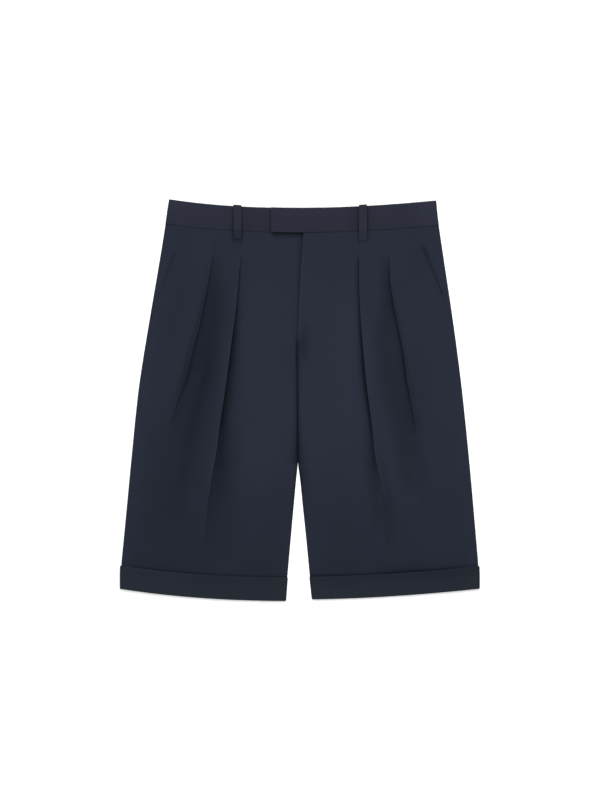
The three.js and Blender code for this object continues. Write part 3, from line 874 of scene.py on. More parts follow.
def pleat(rows, half, row, top, width):
    """A pleat on a row: the cloth comes to the fold in a trough, runs on under it, turns up and back
    to the fold's edge, and turns out again. Also gives the spot where its hidden layers end."""
    y = crossing(rows, half, row)
    turn = math.radians(read_straight(rows, "turn", y))
    arc = max(LAYER / 2 * turn, LEAST_ARC) / BENDS
    under = read_straight(rows, "under", y)
    up = [(arc, turn / BENDS)] * BENDS
    down = [(arc, -turn / BENDS)] * BENDS
    path = walk(up + [(under / UNDER_STEPS, 0.0)] * UNDER_STEPS + down)
    fold_edge = min(out for out, _ in path[BENDS + 1:])
    shift = read(rows, half.name, y) - fold_edge
    rise = path[-1][1]
    low = top - rise
    free = 1 - ease((y - SEWN_FREE) / (SEWN_DOWN - SEWN_FREE))
    fold = []
    for k, (out, z) in enumerate(path):
        if k > 1.5 * BENDS + UNDER_STEPS:  # where the second bend has passed the fold's edge
            out = fold_edge + (out - fold_edge) * mix(SEWN_CORNER, 1.0, free)
        share = ease((k - BENDS - UNDER_STEPS) / BENDS)
        # A painted highlight along the fold's edge, and painted shade on the cloth hidden under the fold
        press = share * mix(SEWN_HIGHLIGHT, FOLD_HIGHLIGHT * min(1.0, turn), free)
        hidden = HIDDEN_DARK * free * clamp(turn - HIDDEN_TURN)
        fold.append(Spot(out + shift, low + z, hidden * (1 - share), press))
    nearest = min(fold[0].out, shift + fold_edge)
    approach = []
    # Where the pleat is sewn down, a painted highlight lies along its line
    for part, (back, height) in zip(FREE_STEPS, SEWN_STEPS):
        open_z = low + rise * ease(part)
        sewn_z = low + rise * height
        approach.append(Spot(
            nearest - mix(back, width * part, free),
            mix(sewn_z, open_z, free),
            0.0,
            SEWN_HIGHLIGHT * (1 - free) * ease((SEWN_HIGHLIGHT_WIDTH - back) / SEWN_HIGHLIGHT_FADE),
        ))
    clear = max(spot.out for spot in fold) + PAST_FOLD
    return [*approach, *fold, Spot(fold[-1].out + HIGHLIGHT_ENDS_PAST, top)], Spot(clear, top)


def roll(distance, free):
    """The soft roll of the cloth just outside a free fold."""
    return ROLL_HEIGHT * free * math.exp(-((distance - ROLL_CREST) / ROLL_WIDTH) ** 2)


def seam_close(row):
    """How far a panel's edge goes on past the source's, so that the centre seams are shut."""
    return (SEAM_GAP / 2 + SEAM_LAP) * ease((row - CROTCH) / SEAM_CLOSED)


def fly_edge(row):
    return read(INNER_LINE, "left", row) + read_straight(FLY_SET, "set", row)


def front_section(half, row):
    """A front panel, from centre front or the inside leg out to the side or the pocket's mouth."""
    _, seam, rim, panel = levels(half, row)
    side, inner = edges(half, row)
    radius = rim - seam - SEAM_GAP / 2
    share = 1.0 if row <= CROTCH else read_straight(CENTRE_TURN, "front", row)
    on_top = LAYER * ease((row - FLY_FOOT + FLY_EASE) / FLY_EASE) if half is LEFT else 0.0
    lap = UNDERLAP * ease((row - FLY_FOOT) / FLY_EASE) if half is RIGHT else 0.0
    edge = fly_edge(row) if half is LEFT and row > CROTCH else inner
    start = edge + face_depth(share) - lap - seam_close(row)
    opening = inner_turn(radius, share, start, mix(panel, rim, share) + on_top)
    fly_end = Spot(opening[-1].out + FLY_WIDTH, panel)

    out_of_cuff = 1 - cuff_share(half, row)
    trough = mix(CUFF_TROUGH, INNER_TROUGH[half.name], out_of_cuff)
    inner_spots, inner_clear = pleat(INNER_PLEAT, half, row, panel, trough)
    room = read(OUTER_PLEAT, half.name, row) - inner_clear.out - TROUGH_ROOM
    trough = mix(CUFF_TROUGH, min(OUTER_TROUGH, room), out_of_cuff)
    outer_spots, outer_clear = pleat(OUTER_PLEAT, half, row, panel, trough)

    if row > POCKET_FOOT:
        mouth = read(POCKET_LINE, half.name, crossing(POCKET_LINE, half, row))
        lip = mix(HIP + CLOTH + SEAM_GAP / 4, panel, ease((row - POCKET_FOOT) / MOUTH_RISE))
        closing = edge_turn(radius, 0.0, mouth, lip)
    else:
        closing = edge_turn(radius, 1.0, side - CLOTH / 2, rim)

    def after_lap(part):
        return ease((part - LEVEL_LAP) / (1 - LEVEL_LAP))

    return [
        *opening,
        *between(opening[-1], fly_end, FRONT_STEPS["fly"], after_lap),
        fly_end,
        *between(fly_end, inner_spots[0], FRONT_STEPS["yoke"]),
        *inner_spots,
        *between(inner_spots[-1], inner_clear, FRONT_STEPS["past inner"]),
        inner_clear,
        *between(inner_clear, outer_spots[0], FRONT_STEPS["strip"]),
        *outer_spots,
        *between(outer_spots[-1], outer_clear, FRONT_STEPS["past outer"]),
        outer_clear,
        *between(outer_clear, closing[0], FRONT_STEPS["side"], lambda t: t ** SIDE_DROP),
        *closing,
    ]


def hip_section(half, row):
    """The hip piece that shows outside the pocket's mouth, and tucks in under the front panel."""
    _, seam, _, panel = levels(half, row)
    side, _ = edges(half, row)
    mouth = read(POCKET_LINE, half.name, crossing(POCKET_LINE, half, row))
    closing = edge_turn(HIP - seam - SEAM_GAP / 2, 1.0, side - CLOTH / 2, HIP)
    room = closing[0].out - mouth
    rise = (panel - HIP) * ease((row - POCKET_FOOT) / MOUTH_RISE) * ease(room / HIP_ROOM)
    start = Spot(mouth - POCKET_TUCK, HIP)
    last_flat = Spot(mouth - MOUTH_SET, HIP)
    spots = [start, *between(start, last_flat, HIP_TUCK_STEPS), last_flat]
    y = height_on(half, row, mouth)
    opened = ease((MOUTH_TOP[half.name] - y) / MOUTH_OPENS) * ease((y - MOUTH_END[half.name]) / MOUTH_CLOSES)
    slope = min(mix(FLUSH_SLOPE, MOUTH_SLOPE, opened), room * MOST_SLOPE)
    for part in RISE_STEPS:
        spots.append(Spot(mouth + part * slope, HIP + rise * mix(FIRST_RISE, 1, ease(part))))
    return [*spots, *between(spots[-1], closing[0], HIP_STEPS, lambda t: t ** HIP_DROP), *closing]


def loop_lift(half, row, out):
    """How far the cloth of the back is lifted over the nearest belt loop."""
    distance = min(abs(half.sign * out - place) for place in BACK_LOOP_PLACES)
    near = ease((LIFT_ENDS - distance) / (LIFT_ENDS - LIFT_FULL))
    return LIFT * near * ease((row - LIFT_START) / (LIFTED_FROM - LIFT_START))


def back_section(half, row):
    """A back panel, from the side seam in to the seat seam or the inside leg."""
    back, seam, _, _ = levels(half, row)
    side, inner = edges(half, row)
    radius = seam - SEAM_GAP / 2 - back
    share = 1.0 if row <= CROTCH else read_straight(CENTRE_TURN, "back", row)

    def turned_up(spots):
        return [spot._replace(z=2 * back - spot.z) for spot in spots][::-1]

    opening = turned_up(edge_turn(radius, 1.0, side - CLOTH / 2, back))
    closing = turned_up(inner_turn(radius, share, inner + face_depth(share) - seam_close(row), back))
    spots = [*opening, *between(opening[-1], closing[0], BACK_STEPS), *closing]
    return [spot._replace(z=spot.z + loop_lift(half, row, spot.out)) for spot in spots]


def band_section(half, row):
    """A half of the waistband: its front wall, the fold at the side, and its back wall."""
    front = BAND_RISE - BAND / 2
    radius = (front - BAND / 2) / 2
    start = -TAB_REACH if half is LEFT else read(INNER_LINE, "right", WAIST_SEAM) - UNDERLAP
    fold_out = side_of(half, row) - BAND / 2 - radius
    angle = math.pi / RING_STEPS
    spots = []
    for k in range(BAND_FRONT_STEPS):
        out = mix(start, fold_out, k / BAND_FRONT_STEPS)
        lift = 0.0
        if half is LEFT:
            lift = (BAND + SEAM_GAP) * (1 - ease((out - TAB_LEVEL) / TAB_SLOPE))
        spots.append(Spot(out, front + lift))
    for out, z in walk([(radius * angle, -angle)] * RING_STEPS):
        spots.append(Spot(fold_out + out, front + z))
    end = half.sign * CENTRE_BACK + SEAM_GAP / 2
    for k in range(1, BAND_BACK_STEPS + 1):
        out = mix(fold_out, end, k / BAND_BACK_STEPS)
        spots.append(Spot(out, BAND / 2 + loop_lift(half, row, out)))
    return spots


def cuff_section(half, row):
    """A cuff: a ring of cloth round the leg."""
    radius = (CUFF_RISE - CUFF_WALL) / 2
    side = side_of(half, row) + CUFF_PROUD - CUFF_WALL / 2 - radius
    inner = read(INNER_LINE, half.name, row) - CUFF_PROUD_INSIDE + CUFF_WALL / 2 + radius
    spots = []

    def arc(centre, start):
        for k in range(RING_STEPS + 1):
            angle = start - math.pi * k / RING_STEPS
            spots.append(Spot(
                centre + radius * math.cos(angle),
                CUFF_RISE / 2 + radius * math.sin(angle),
            ))

    def along(a, b, z, count):
        for k in range(1, count + 1):
            spots.append(Spot(mix(a, b, k / (count + 1)), z))

    arc(side, math.pi / 2)
    along(side, inner, CUFF_RISE / 2 - radius, CUFF_BACK_STEPS)
    arc(inner, -math.pi / 2)
    along(inner, side, CUFF_RISE / 2 + radius, CUFF_FRONT_STEPS)
    return spots


def fold_at(fold, out, y):
    """How much a soft fold counts at a place: its share on its middle line, fading across it."""
    if not fold.run[0]["y"] <= y <= fold.run[-1]["y"]:
        return 0.0
    width = read_straight(fold.run, "width", y)
    distance = abs(out - read(fold.run, "out", y)) / width
    if distance > FOLD_ENDS:
        return 0.0
    return clamp(read(fold.run, "share", y)) * math.exp(-distance ** FOLD_POWER)


def folded(folds, half, out, y):
    """Height, and painted shade or painted light, that the soft folds add at a place."""
    height = dark = 0.0
    for fold in folds:
        if fold.half is half:
            share = fold_at(fold, out, y)
            height += share * fold.height
            dark += share * fold.dark
    return height, dark


def shade(rows, y, distance, power=SHADE_POWER):
    """The light lost at a distance from an edge, and none on the edge's own side."""
    if distance < -SHADE_STARTS:
        return 0.0
    reach = read_straight(rows, "reach", y)
    return read_straight(rows, "dark", y) * math.exp(-(max(0.0, distance) / reach) ** power)


def close_shade(distance, close):
    return close.dark * math.exp(-(distance / close.reach) ** 2) if distance > -CLOSE_STARTS else 0.0


def unevenness(x, y, wave):
    return wave.size * noise.noise(Vector((x / wave.span, y / (WAVE_LENGTH * wave.span), wave.seed)))


def round_off(distance, radius):
    """The share of a wall's thickness at a distance from its rounded edge."""
    part = clamp(distance / radius)
    return max(LEAST_WALL, math.sqrt(1 - (1 - part) ** 2))


def rows_through(heights, limit, rim=0.0):
    """Rows between heights, none further apart than a limit, with three more at each rounded rim."""
    rows = [heights[0]]
    for a, b in zip(heights, heights[1:]):
        steps = max(1, math.ceil((b - a) / limit - 0.01))
        rows += [mix(a, b, k / steps) for k in range(1, steps + 1)]
    if rim:
        near = [rim * place for place in RIM_PLACES]
        at_foot = [rows[0] + d for d in near]
        at_top = [rows[-1] - d for d in reversed(near)]
        rows = [rows[0], *at_foot, *rows[1:-1], *at_top, rows[-1]]
    return rows


def moved(spots, index, shift, closed):
    """A spot moved square to the section, to the left of the way that the section runs."""
    last = len(spots) - 1
    here = spots[index]
    before = spots[index - 1] if closed or index else here
    after = spots[(index + 1) % len(spots)] if closed or index < last else here
    arriving = Vector((here.out - before.out, here.z - before.z))
    leaving = Vector((after.out - here.out, after.z - here.z))
    if arriving.length < 1e-9:
        arriving = leaving.copy()
    if leaving.length < 1e-9:
        leaving = arriving.copy()
    arriving.normalize()
    leaving.normalize()
    mean = (arriving + leaving).normalized()
    reach = shift / max(mean.dot(leaving), SHARPEST)
    return here.out - mean.y * reach, here.z + mean.x * reach


def with_round_ends(spots, radius):
    """The section with two more spots just inside each end, for the rounding."""
    def near(a, b):
        length = math.hypot(b.out - a.out, b.z - a.z)
        return [
            Spot(*(mix(u, v, min(radius * place / length, 0.4 + 0.3 * k)) for u, v in zip(a, b)))
            for k, place in enumerate(END_PLACES)
        ]
    return [spots[0], *near(spots[0], spots[1]), *spots[1:-1], *near(spots[-1], spots[-2])[::-1], spots[-1]]


def cloth_piece(name, half, rows, section_at, wall, shape=None, closed=False):
    """One cut piece of cloth as a closed wall with rounded edges, from its section on each row.
    shape gives the height and the painted shade or light added at a place. The weave's map follows the
    cloth."""
    verts, faces, uvs, painted_shades, painted_highlights = [], [], [], [], []
    for row in rows:
        spots = section_at(half, row)
        if not closed:
            spots = with_round_ends(spots, wall / 2)
        if shape:
            dressed = []
            for spot in spots:
                rise, dark = shape(half, row, spot)
                dressed.append(spot._replace(z=spot.z + rise, hollow=min(MOST_DARK, spot.hollow + dark)))
            spots = dressed
        run = [0.0]
        for a, b in zip(spots, spots[1:]):
            run.append(run[-1] + math.hypot(b.out - a.out, b.z - a.z))
        rim = round_off(min(row - rows[0], rows[-1] - row), wall / 2)
        for shift in (0.5, -0.5):
            for j, spot in enumerate(spots):
                end = 1.0 if closed else round_off(min(run[j], run[-1] - run[j]), wall / 2)
                out, z = moved(spots, j, shift * wall * rim * end, closed)
                verts.append((half.sign * out * MM, height_on(half, row, out) * MM, z * MM))
                uvs.append((run[j] * MM, row * MM))
                painted_shades.append(spot.hollow)
                painted_highlights.append(spot.press)
    count = len(spots)

    def outer(i, j):
        return 2 * i * count + j % count

    def inner(i, j):
        return (2 * i + 1) * count + j % count

    def quad(a, b, c, d):
        faces.append((a, b, c, d) if half.sign > 0 else (a, d, c, b))

    top = len(rows) - 1
    for j in range(count if closed else count - 1):
        for i in range(top):
            quad(outer(i, j), outer(i, j + 1), outer(i + 1, j + 1), outer(i + 1, j))
            quad(inner(i, j), inner(i + 1, j), inner(i + 1, j + 1), inner(i, j + 1))
        quad(outer(0, j), inner(0, j), inner(0, j + 1), outer(0, j + 1))
        quad(outer(top, j), outer(top, j + 1), inner(top, j + 1), inner(top, j))
    if not closed:
        for i in range(top):
            quad(outer(i, 0), outer(i + 1, 0), inner(i + 1, 0), inner(i, 0))
            quad(outer(i, count - 1), inner(i, count - 1), inner(i + 1, count - 1), outer(i + 1, count - 1))

    mesh = bpy.data.meshes.new(name)
    mesh.from_pydata(verts, [], faces)
    weave_map = mesh.uv_layers.new(name="weave")
    for loop in mesh.loops:
        weave_map.data[loop.index].uv = uvs[loop.vertex_index]
    for title, values in (("hollow", painted_shades), ("press", painted_highlights)):
        mesh.attributes.new(title, "FLOAT", "POINT").data.foreach_set("value", values)
    piece = bpy.data.objects.new(name, mesh)
    bpy.context.collection.objects.link(piece)
    select_only(piece)
    bpy.ops.object.shade_smooth()
    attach(piece, "root")
    return piece


def select_only(piece):
    bpy.ops.object.select_all(action="DESELECT")
    piece.select_set(True)
    bpy.context.view_layer.objects.active = piece


def mouth_shade(half, y, distance):
    """The light lost at a pocket's mouth, as painted shade. Above the opening its line is pressed flat, and
    has painted light along it.
    """
    rows = MOUTH_SHADE[half.name]
    away = abs(distance)
    flush = ease((y - rows[-1]["y"] + FLUSH_FROM) / FLUSH_FROM)
    return shade(rows, y, away) - flush * close_shade(away, FLUSH_LIGHT)


def front_dark(half, row, y, out):
    """The light lost on a front panel beside its pleats, its seams and the pieces that lie on it."""
    dark = shade(INNER_SHADE[half.name], y, read(INNER_PLEAT, half.name, y) - out)
    dark += shade(OUTER_SHADE[half.name], y, read(OUTER_PLEAT, half.name, y) - out)
    seam = read(INNER_LINE, half.name, row)
    if row > SEAM_SHADE_FROM:
        dark += shade(SEAM_SHADE, y, out - seam, SEAM_SHADE_POWER)
    else:
        dark += close_shade(out - seam, INSIDE_LEG_SHADE) * ease((row - INSIDE_LEG_FROM) / INSIDE_LEG_RUN)
    if half is LEFT and row > FLY_FOOT:
        dark -= close_shade(out - fly_edge(row), FLY_LIGHT)
    if half is RIGHT:
        dark += shade(FLY_SHADE, y, out + fly_edge(row))
        below = clamp(1 - (WAIST_SEAM - row) / TAB_SHADE_REACH)
        dark += TAB_SHADE * below * ease((TAB_REACH - out + TAB_SHADE_END / 2) / TAB_SHADE_END)
    if row > POCKET_FOOT:
        mouth = read(POCKET_LINE, half.name, y)
        dark += mouth_shade(half, y, mouth - out)
    for loop in FRONT_LOOPS:
        if loop.half is half:
            across = max(0.0, abs(out - loop.at) - LOOP_WIDTH / 2)
            below = max(0.0, WAIST_SEAM - loop.drop - row)
            foot_reach = FOOT_SHADE_REACH[half.name] / LOOP_SHADE.reach
            dark += close_shade(math.hypot(across, below / foot_reach), LOOP_SHADE)
    fade = CUFF_LINE_FADE * ease((out - CUFF_LINE_FADE_FROM) / CUFF_LINE_FADE_RUN)
    line = CUFF_SHADE[half.name] * (1 - fade)
    dark += close_shade(row - cuff_top(half), Close(line, CUFF_SHADE_REACH))
    if half is LEFT:
        light = close_shade(WAIST_SEAM - row - WAIST_LIGHT_AT, WAIST_LIGHT)
        dark += close_shade(WAIST_SEAM - row - WAIST_SHADE_AT, WAIST_SHADE) - light
    return dark - close_shade(side_of(half, row) - out, SIDE_LIGHT)


def lofted(half, row, out):
    """How fully the cloth stands up from its seams: all of it in the middle, none at an edge."""
    side, inner = edges(half, row)
    if row > POCKET_FOOT:
        side = read(POCKET_LINE, half.name, crossing(POCKET_LINE, half, row))
    return ease((side - out) / LOFT_EDGE) * ease((out - inner) / LOFT_EDGE)


def front_shape(half, row, spot):
    """The soft folds, the roll beside each free pleat and the slight waviness of a front panel, with the
    painted shade and light of its folds, pleats and edges.
    """
    y = height_on(half, row, spot.out)
    x = half.sign * spot.out
    height, dark = folded(FRONT_FOLDS, half, spot.out, y)
    for rows in (INNER_PLEAT, OUTER_PLEAT):
        free = 1 - ease((y - SEWN_FREE + ROLL_SETTLES) / (SEWN_DOWN - SEWN_FREE + ROLL_SETTLES))
        strength = free * clamp(read_straight(rows, "turn", y) / RIGHT_ANGLE)
        distance = spot.out - read(rows, half.name, y)
        if distance > -ROLL_BEHIND and spot.z > PANEL - ROLL_BELOW:
            height += roll(distance, strength)
    height += unevenness(x, y, PANEL_WAVE) + unevenness(x, y, FINE_WAVE)
    height = max(LOWEST, height + LOFT * lofted(half, row, spot.out))
    above_cuff = row - cuff_top(half)
    settled = ease((WAIST_SEAM - row) / SETTLE_TOP) * ease((above_cuff + SETTLE_FROM) / SETTLE_FOOT)
    dip = CUFF_DIP * math.exp(-(above_cuff / CUFF_DIP_WIDTH) ** 2) if above_cuff > -1 else 0.0
    return height * settled - dip, dark + front_dark(half, row, y, spot.out)


def hip_shape(half, row, spot):
    """A hip piece keeps its shape. It has painted shade beside the pocket's mouth, and painted light near
    the side.
    """
    y = height_on(half, row, spot.out)
    mouth = read(POCKET_LINE, half.name, y)
    dark = HIP_MOUTH[half.name] * mouth_shade(half, y, spot.out - mouth)
    dark -= close_shade(side_of(half, row) - spot.out, SIDE_LIGHT)
    return 0.0, dark


def back_shape(half, row, spot):
    """The gentler folds of a back panel, and the light lost beside its cuff and the seat seam."""
    y = height_on(half, row, spot.out)
    height, dark = folded(BACK_FOLDS, half, spot.out, y)
    dark += close_shade(row - cuff_top(half), Close(CUFF_SHADE[half.name], BACK_CUFF_SHADE_REACH))
    if row > CROTCH:
        dark += close_shade(spot.out - read(INNER_LINE, half.name, row), SEAT_SEAM_SHADE)
    height *= ease((WAIST_SEAM - row - BACK_SETTLE_TOP) / BACK_SETTLE_TOP)
    return height * ease((row - cuff_top(half)) / BACK_SETTLE_FOOT), dark


def band_shape(half, row, spot):
    """The waistband swells a little between its edges. It has painted shade beside the loops and the tab's
    end and near its lower edge, and painted light on the tab's edges, towards its top and towards the sides.
    """
    if spot.z < BAND_RISE / 2:
        return 0.0, 0.0
    _, dark = folded(BAND_FOLDS, half, spot.out, row)
    for loop in FRONT_LOOPS:
        if loop.half is half:
            gap = abs(spot.out - loop.at) - LOOP_WIDTH / 2
            dark += close_shade(gap, LOOP_SHADE) + close_shade(gap, LOOP_WIDE_SHADE)
    if half is RIGHT:
        gap = spot.out - TAB_REACH
        dark += close_shade(gap, TAB_END_SHADE) + close_shade(gap, TAB_END_WIDE_SHADE)
    else:
        dark -= close_shade(spot.out + TAB_REACH, TAB_END_LIGHT)
        if spot.out < TAB_FREE:
            dark -= close_shade(row - WAIST_SEAM, TAB_FOOT_LIGHT)
    t = clamp((row - WAIST_SEAM) / BAND_HEIGHT)
    at_side = SIDE_LIGHT.dark * ease((spot.out - BAND_SIDE_FROM) / BAND_SIDE_RUN)
    dark -= BAND_LIGHT * (t - BAND_LIGHT_FROM) + at_side
    x = half.sign * spot.out
    return BAND_SWELL * math.sin(math.pi * t) + unevenness(x, row, BAND_WAVE), dark


def cuff_shape(half, row, spot):
    """A cuff's front swells a little. It has painted shade towards its top edge, and painted light towards
    the hem and at its ends.
    """
    if spot.z < CUFF_RISE - CUFF_WALL:
        return 0.0, 0.0
    t = clamp((row - half.hem) / CUFF_HEIGHT)
    dark = CUFF_TOP_DARK[half.name] * ease((t - CUFF_TOP_DARK_FROM) / CUFF_TOP_DARK_RUN)
    dark -= CUFF_HEM_LIGHT * (1 - t) ** 2
    dark -= CUFF_END_LIGHT * ease((spot.out - CUFF_END_FROM[half.name]) / CUFF_END_RUN)
    dark -= close_shade(spot.out - read(INNER_LINE, half.name, row), CUFF_TIP_LIGHT)
    if half is RIGHT:
        dark -= close_shade(side_of(half, row) - spot.out, CUFF_TIP_LIGHT)
    x = half.sign * spot.out
    return CUFF_SWELL * math.sin(math.pi * t) + unevenness(x, row, CUFF_WAVE), dark


# Materials


def new_group(name, inputs, outputs):
    group = bpy.data.node_groups.new(name, "ShaderNodeTree")
    for title, kind, value in inputs:
        socket = group.interface.new_socket(title, in_out="INPUT", socket_type=kind)
        if value is not None:
            socket.default_value = value
    for title, kind in outputs:
        group.interface.new_socket(title, in_out="OUTPUT", socket_type=kind)
    return group, group.nodes.new("NodeGroupInput"), group.nodes.new("NodeGroupOutput")


def math_node(tree, operation, a, b=None):
    node = tree.nodes.new("ShaderNodeMath")
    node.operation = operation
    for socket, value in zip(node.inputs, (a, b)):
        if value is None:
            continue
        if isinstance(value, (int, float)):
            socket.default_value = value
        else:
            tree.links.new(value, socket)
    return node.outputs[0]


def noise_node(tree, vector, scale, detail=3.0, roughness=0.55):
    node = tree.nodes.new("ShaderNodeTexNoise")
    tree.links.new(vector, node.inputs["Vector"])
    node.inputs["Scale"].default_value = scale
    node.inputs["Detail"].default_value = detail
    node.inputs["Roughness"].default_value = roughness
    return node.outputs["Fac"]


def make_weave_group():
    """A fine twill: ribs of yarn across the weave's map, each yarn a little uneven."""
    group, given, result = new_group(
        "fine_twill",
        [("Map", "NodeSocketVector", None), ("Yarn", "NodeSocketFloat", 0.00055)],
        [("Height", "NodeSocketFloat"), ("Tone", "NodeSocketFloat")],
    )
    parts = group.nodes.new("ShaderNodeSeparateXYZ")
    group.links.new(given.outputs["Map"], parts.inputs[0])
    across = math_node(group, "DIVIDE", parts.outputs[0], given.outputs["Yarn"])
    along = math_node(group, "DIVIDE", parts.outputs[1], given.outputs["Yarn"])
    turns = 2 * math.pi
    slanting = math_node(group, "MULTIPLY", math_node(group, "ADD", across, along), turns)
    rib = math_node(group, "SINE", slanting)
    pick = math_node(group, "SINE", math_node(group, "MULTIPLY", along, 2 * turns))
    uneven = noise_node(group, given.outputs["Map"], 900.0, 2.0)
    ribs = math_node(group, "MULTIPLY", rib, 0.35)
    picks = math_node(group, "MULTIPLY", pick, 0.15)
    height = math_node(group, "ADD", ribs, picks)
    height = math_node(group, "ADD", height, math_node(group, "MULTIPLY", uneven, 0.5))
    group.links.new(height, result.inputs["Height"])
    group.links.new(math_node(group, "MULTIPLY_ADD", height, 0.25), result.inputs["Tone"])
    return group


def make_tone_and_painted_light_group():
    """The colour's tone: painted shade in folds and beside edges, painted highlights on edges, and a
    slightly cloudy dye.
    """
    group, given, result = new_group(
        "tone_and_painted_light",
        [
            ("Place", "NodeSocketVector", None),
            ("Hollow", "NodeSocketFloat", 0.0),
            ("Press", "NodeSocketFloat", 0.0),
            ("Yarn Tone", "NodeSocketFloat", 0.0),
            ("Highlight Strength", "NodeSocketFloat", 0.25),
        ],
        [("Tone", "NodeSocketFloat")],
    )
    cloud = noise_node(group, given.outputs["Place"], 9.0, 3.0)
    slub = noise_node(group, given.outputs["Place"], 160.0, 2.0)
    tone = math_node(group, "MULTIPLY_ADD", cloud, 0.16)
    tone.node.inputs[2].default_value = 0.92
    fine = math_node(group, "MULTIPLY_ADD", slub, 0.12)
    fine.node.inputs[2].default_value = 0.94
    tone = math_node(group, "MULTIPLY", tone, fine)
    tone = math_node(group, "MULTIPLY", tone, math_node(group, "SUBTRACT", 1.0, given.outputs["Hollow"]))
    highlight = math_node(group, "MULTIPLY", given.outputs["Press"], given.outputs["Highlight Strength"])
    tone = math_node(group, "MULTIPLY", tone, math_node(group, "ADD", 1.0, highlight))
    tone = math_node(group, "ADD", tone, math_node(group, "MULTIPLY", given.outputs["Yarn Tone"], 0.25))
    group.links.new(tone, result.inputs["Tone"])
    return group


WEAVE = make_weave_group()
TONE_AND_PAINTED_LIGHT = make_tone_and_painted_light_group()


def attribute(tree, name):
    node = tree.nodes.new("ShaderNodeAttribute")
    node.attribute_name = name
    return node.outputs["Fac"]


def cloth_material(name, colour, highlight_strength=0.35, bump=0.35):
    """Matt suiting: its colour with painted shade and highlights, twill and a faint nap."""
    material = bpy.data.materials.new(name)
    material.use_nodes = True
    tree = material.node_tree
    shader = tree.nodes["Principled BSDF"]
    shader.inputs["Roughness"].default_value = 0.86
    shader.inputs["Specular IOR Level"].default_value = 0.02
    shader.inputs["Sheen Weight"].default_value = 0.006
    shader.inputs["Sheen Roughness"].default_value = 0.45
    shader.inputs["Sheen Tint"].default_value = (0.55, 0.65, 0.9, 1)
    uv = tree.nodes.new("ShaderNodeUVMap")
    uv.uv_map = "weave"
    place = tree.nodes.new("ShaderNodeTexCoord").outputs["Object"]
    weave = tree.nodes.new("ShaderNodeGroup")
    weave.node_tree = WEAVE
    tree.links.new(uv.outputs[0], weave.inputs["Map"])
    tone_and_light = tree.nodes.new("ShaderNodeGroup")
    tone_and_light.node_tree = TONE_AND_PAINTED_LIGHT
    tone_and_light.inputs["Highlight Strength"].default_value = highlight_strength
    tree.links.new(place, tone_and_light.inputs["Place"])
    tree.links.new(attribute(tree, "hollow"), tone_and_light.inputs["Hollow"])
    tree.links.new(attribute(tree, "press"), tone_and_light.inputs["Press"])
    tree.links.new(weave.outputs["Tone"], tone_and_light.inputs["Yarn Tone"])
    shaded_colour = tree.nodes.new("ShaderNodeMix")
    shaded_colour.data_type = "RGBA"
    shaded_colour.blend_type = "MULTIPLY"
    shaded_colour.inputs["Factor"].default_value = 1.0
    shaded_colour.inputs["A"].default_value = (*colour, 1)
    grey = tree.nodes.new("ShaderNodeCombineColor")
    for socket in grey.inputs:
        if socket.name in ("Red", "Green", "Blue"):
            tree.links.new(tone_and_light.outputs["Tone"], socket)
    tree.links.new(grey.outputs[0], shaded_colour.inputs["B"])
    tree.links.new(shaded_colour.outputs["Result"], shader.inputs["Base Color"])
    bumps = tree.nodes.new("ShaderNodeBump")
    bumps.inputs["Strength"].default_value = bump
    bumps.inputs["Distance"].default_value = 0.0001
    tree.links.new(weave.outputs["Height"], bumps.inputs["Height"])
    tree.links.new(bumps.outputs[0], shader.inputs["Normal"])
    return material


# The waistband and loops take a slightly lighter, redder copy of the suiting, and the cuffs a slightly
# darker, less blue one
PANEL_CLOTH = cloth_material("navy_suiting", (0.0139, 0.0167, 0.0261))
BAND_CLOTH = cloth_material("navy_suiting_band", (0.0162, 0.0181, 0.0277))
CUFF_CLOTH = cloth_material("navy_suiting_cuff", (0.0134, 0.0164, 0.0231))


def dress(piece, material, node):
    piece.data.materials.append(material)
    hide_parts(node)


# The camera looks straight down with a long lens. The garment's length takes 402 of the 800 pixels.
MM_PER_PIXEL = 1.45
FRAME_HEIGHT = 800
FRAME_MIDDLE = 300
MIDDLE_PIXEL = 299.8  # where the photo has the middle of the garment
LENS = 85.0
SENSOR = 36.0
camera_data = bpy.data.cameras.new("camera")
camera_data.lens = LENS
camera_data.sensor_width = SENSOR
camera = bpy.data.objects.new("camera", camera_data)
bpy.context.collection.objects.link(camera)
camera.location = (
    (FRAME_MIDDLE - MIDDLE_PIXEL) * MM_PER_PIXEL * MM,
    0.0,
    FRAME_HEIGHT * MM_PER_PIXEL * LENS / SENSOR * MM + PANEL * MM,
)
bpy.context.scene.camera = camera
bpy.context.scene.view_settings.view_transform = "Standard"

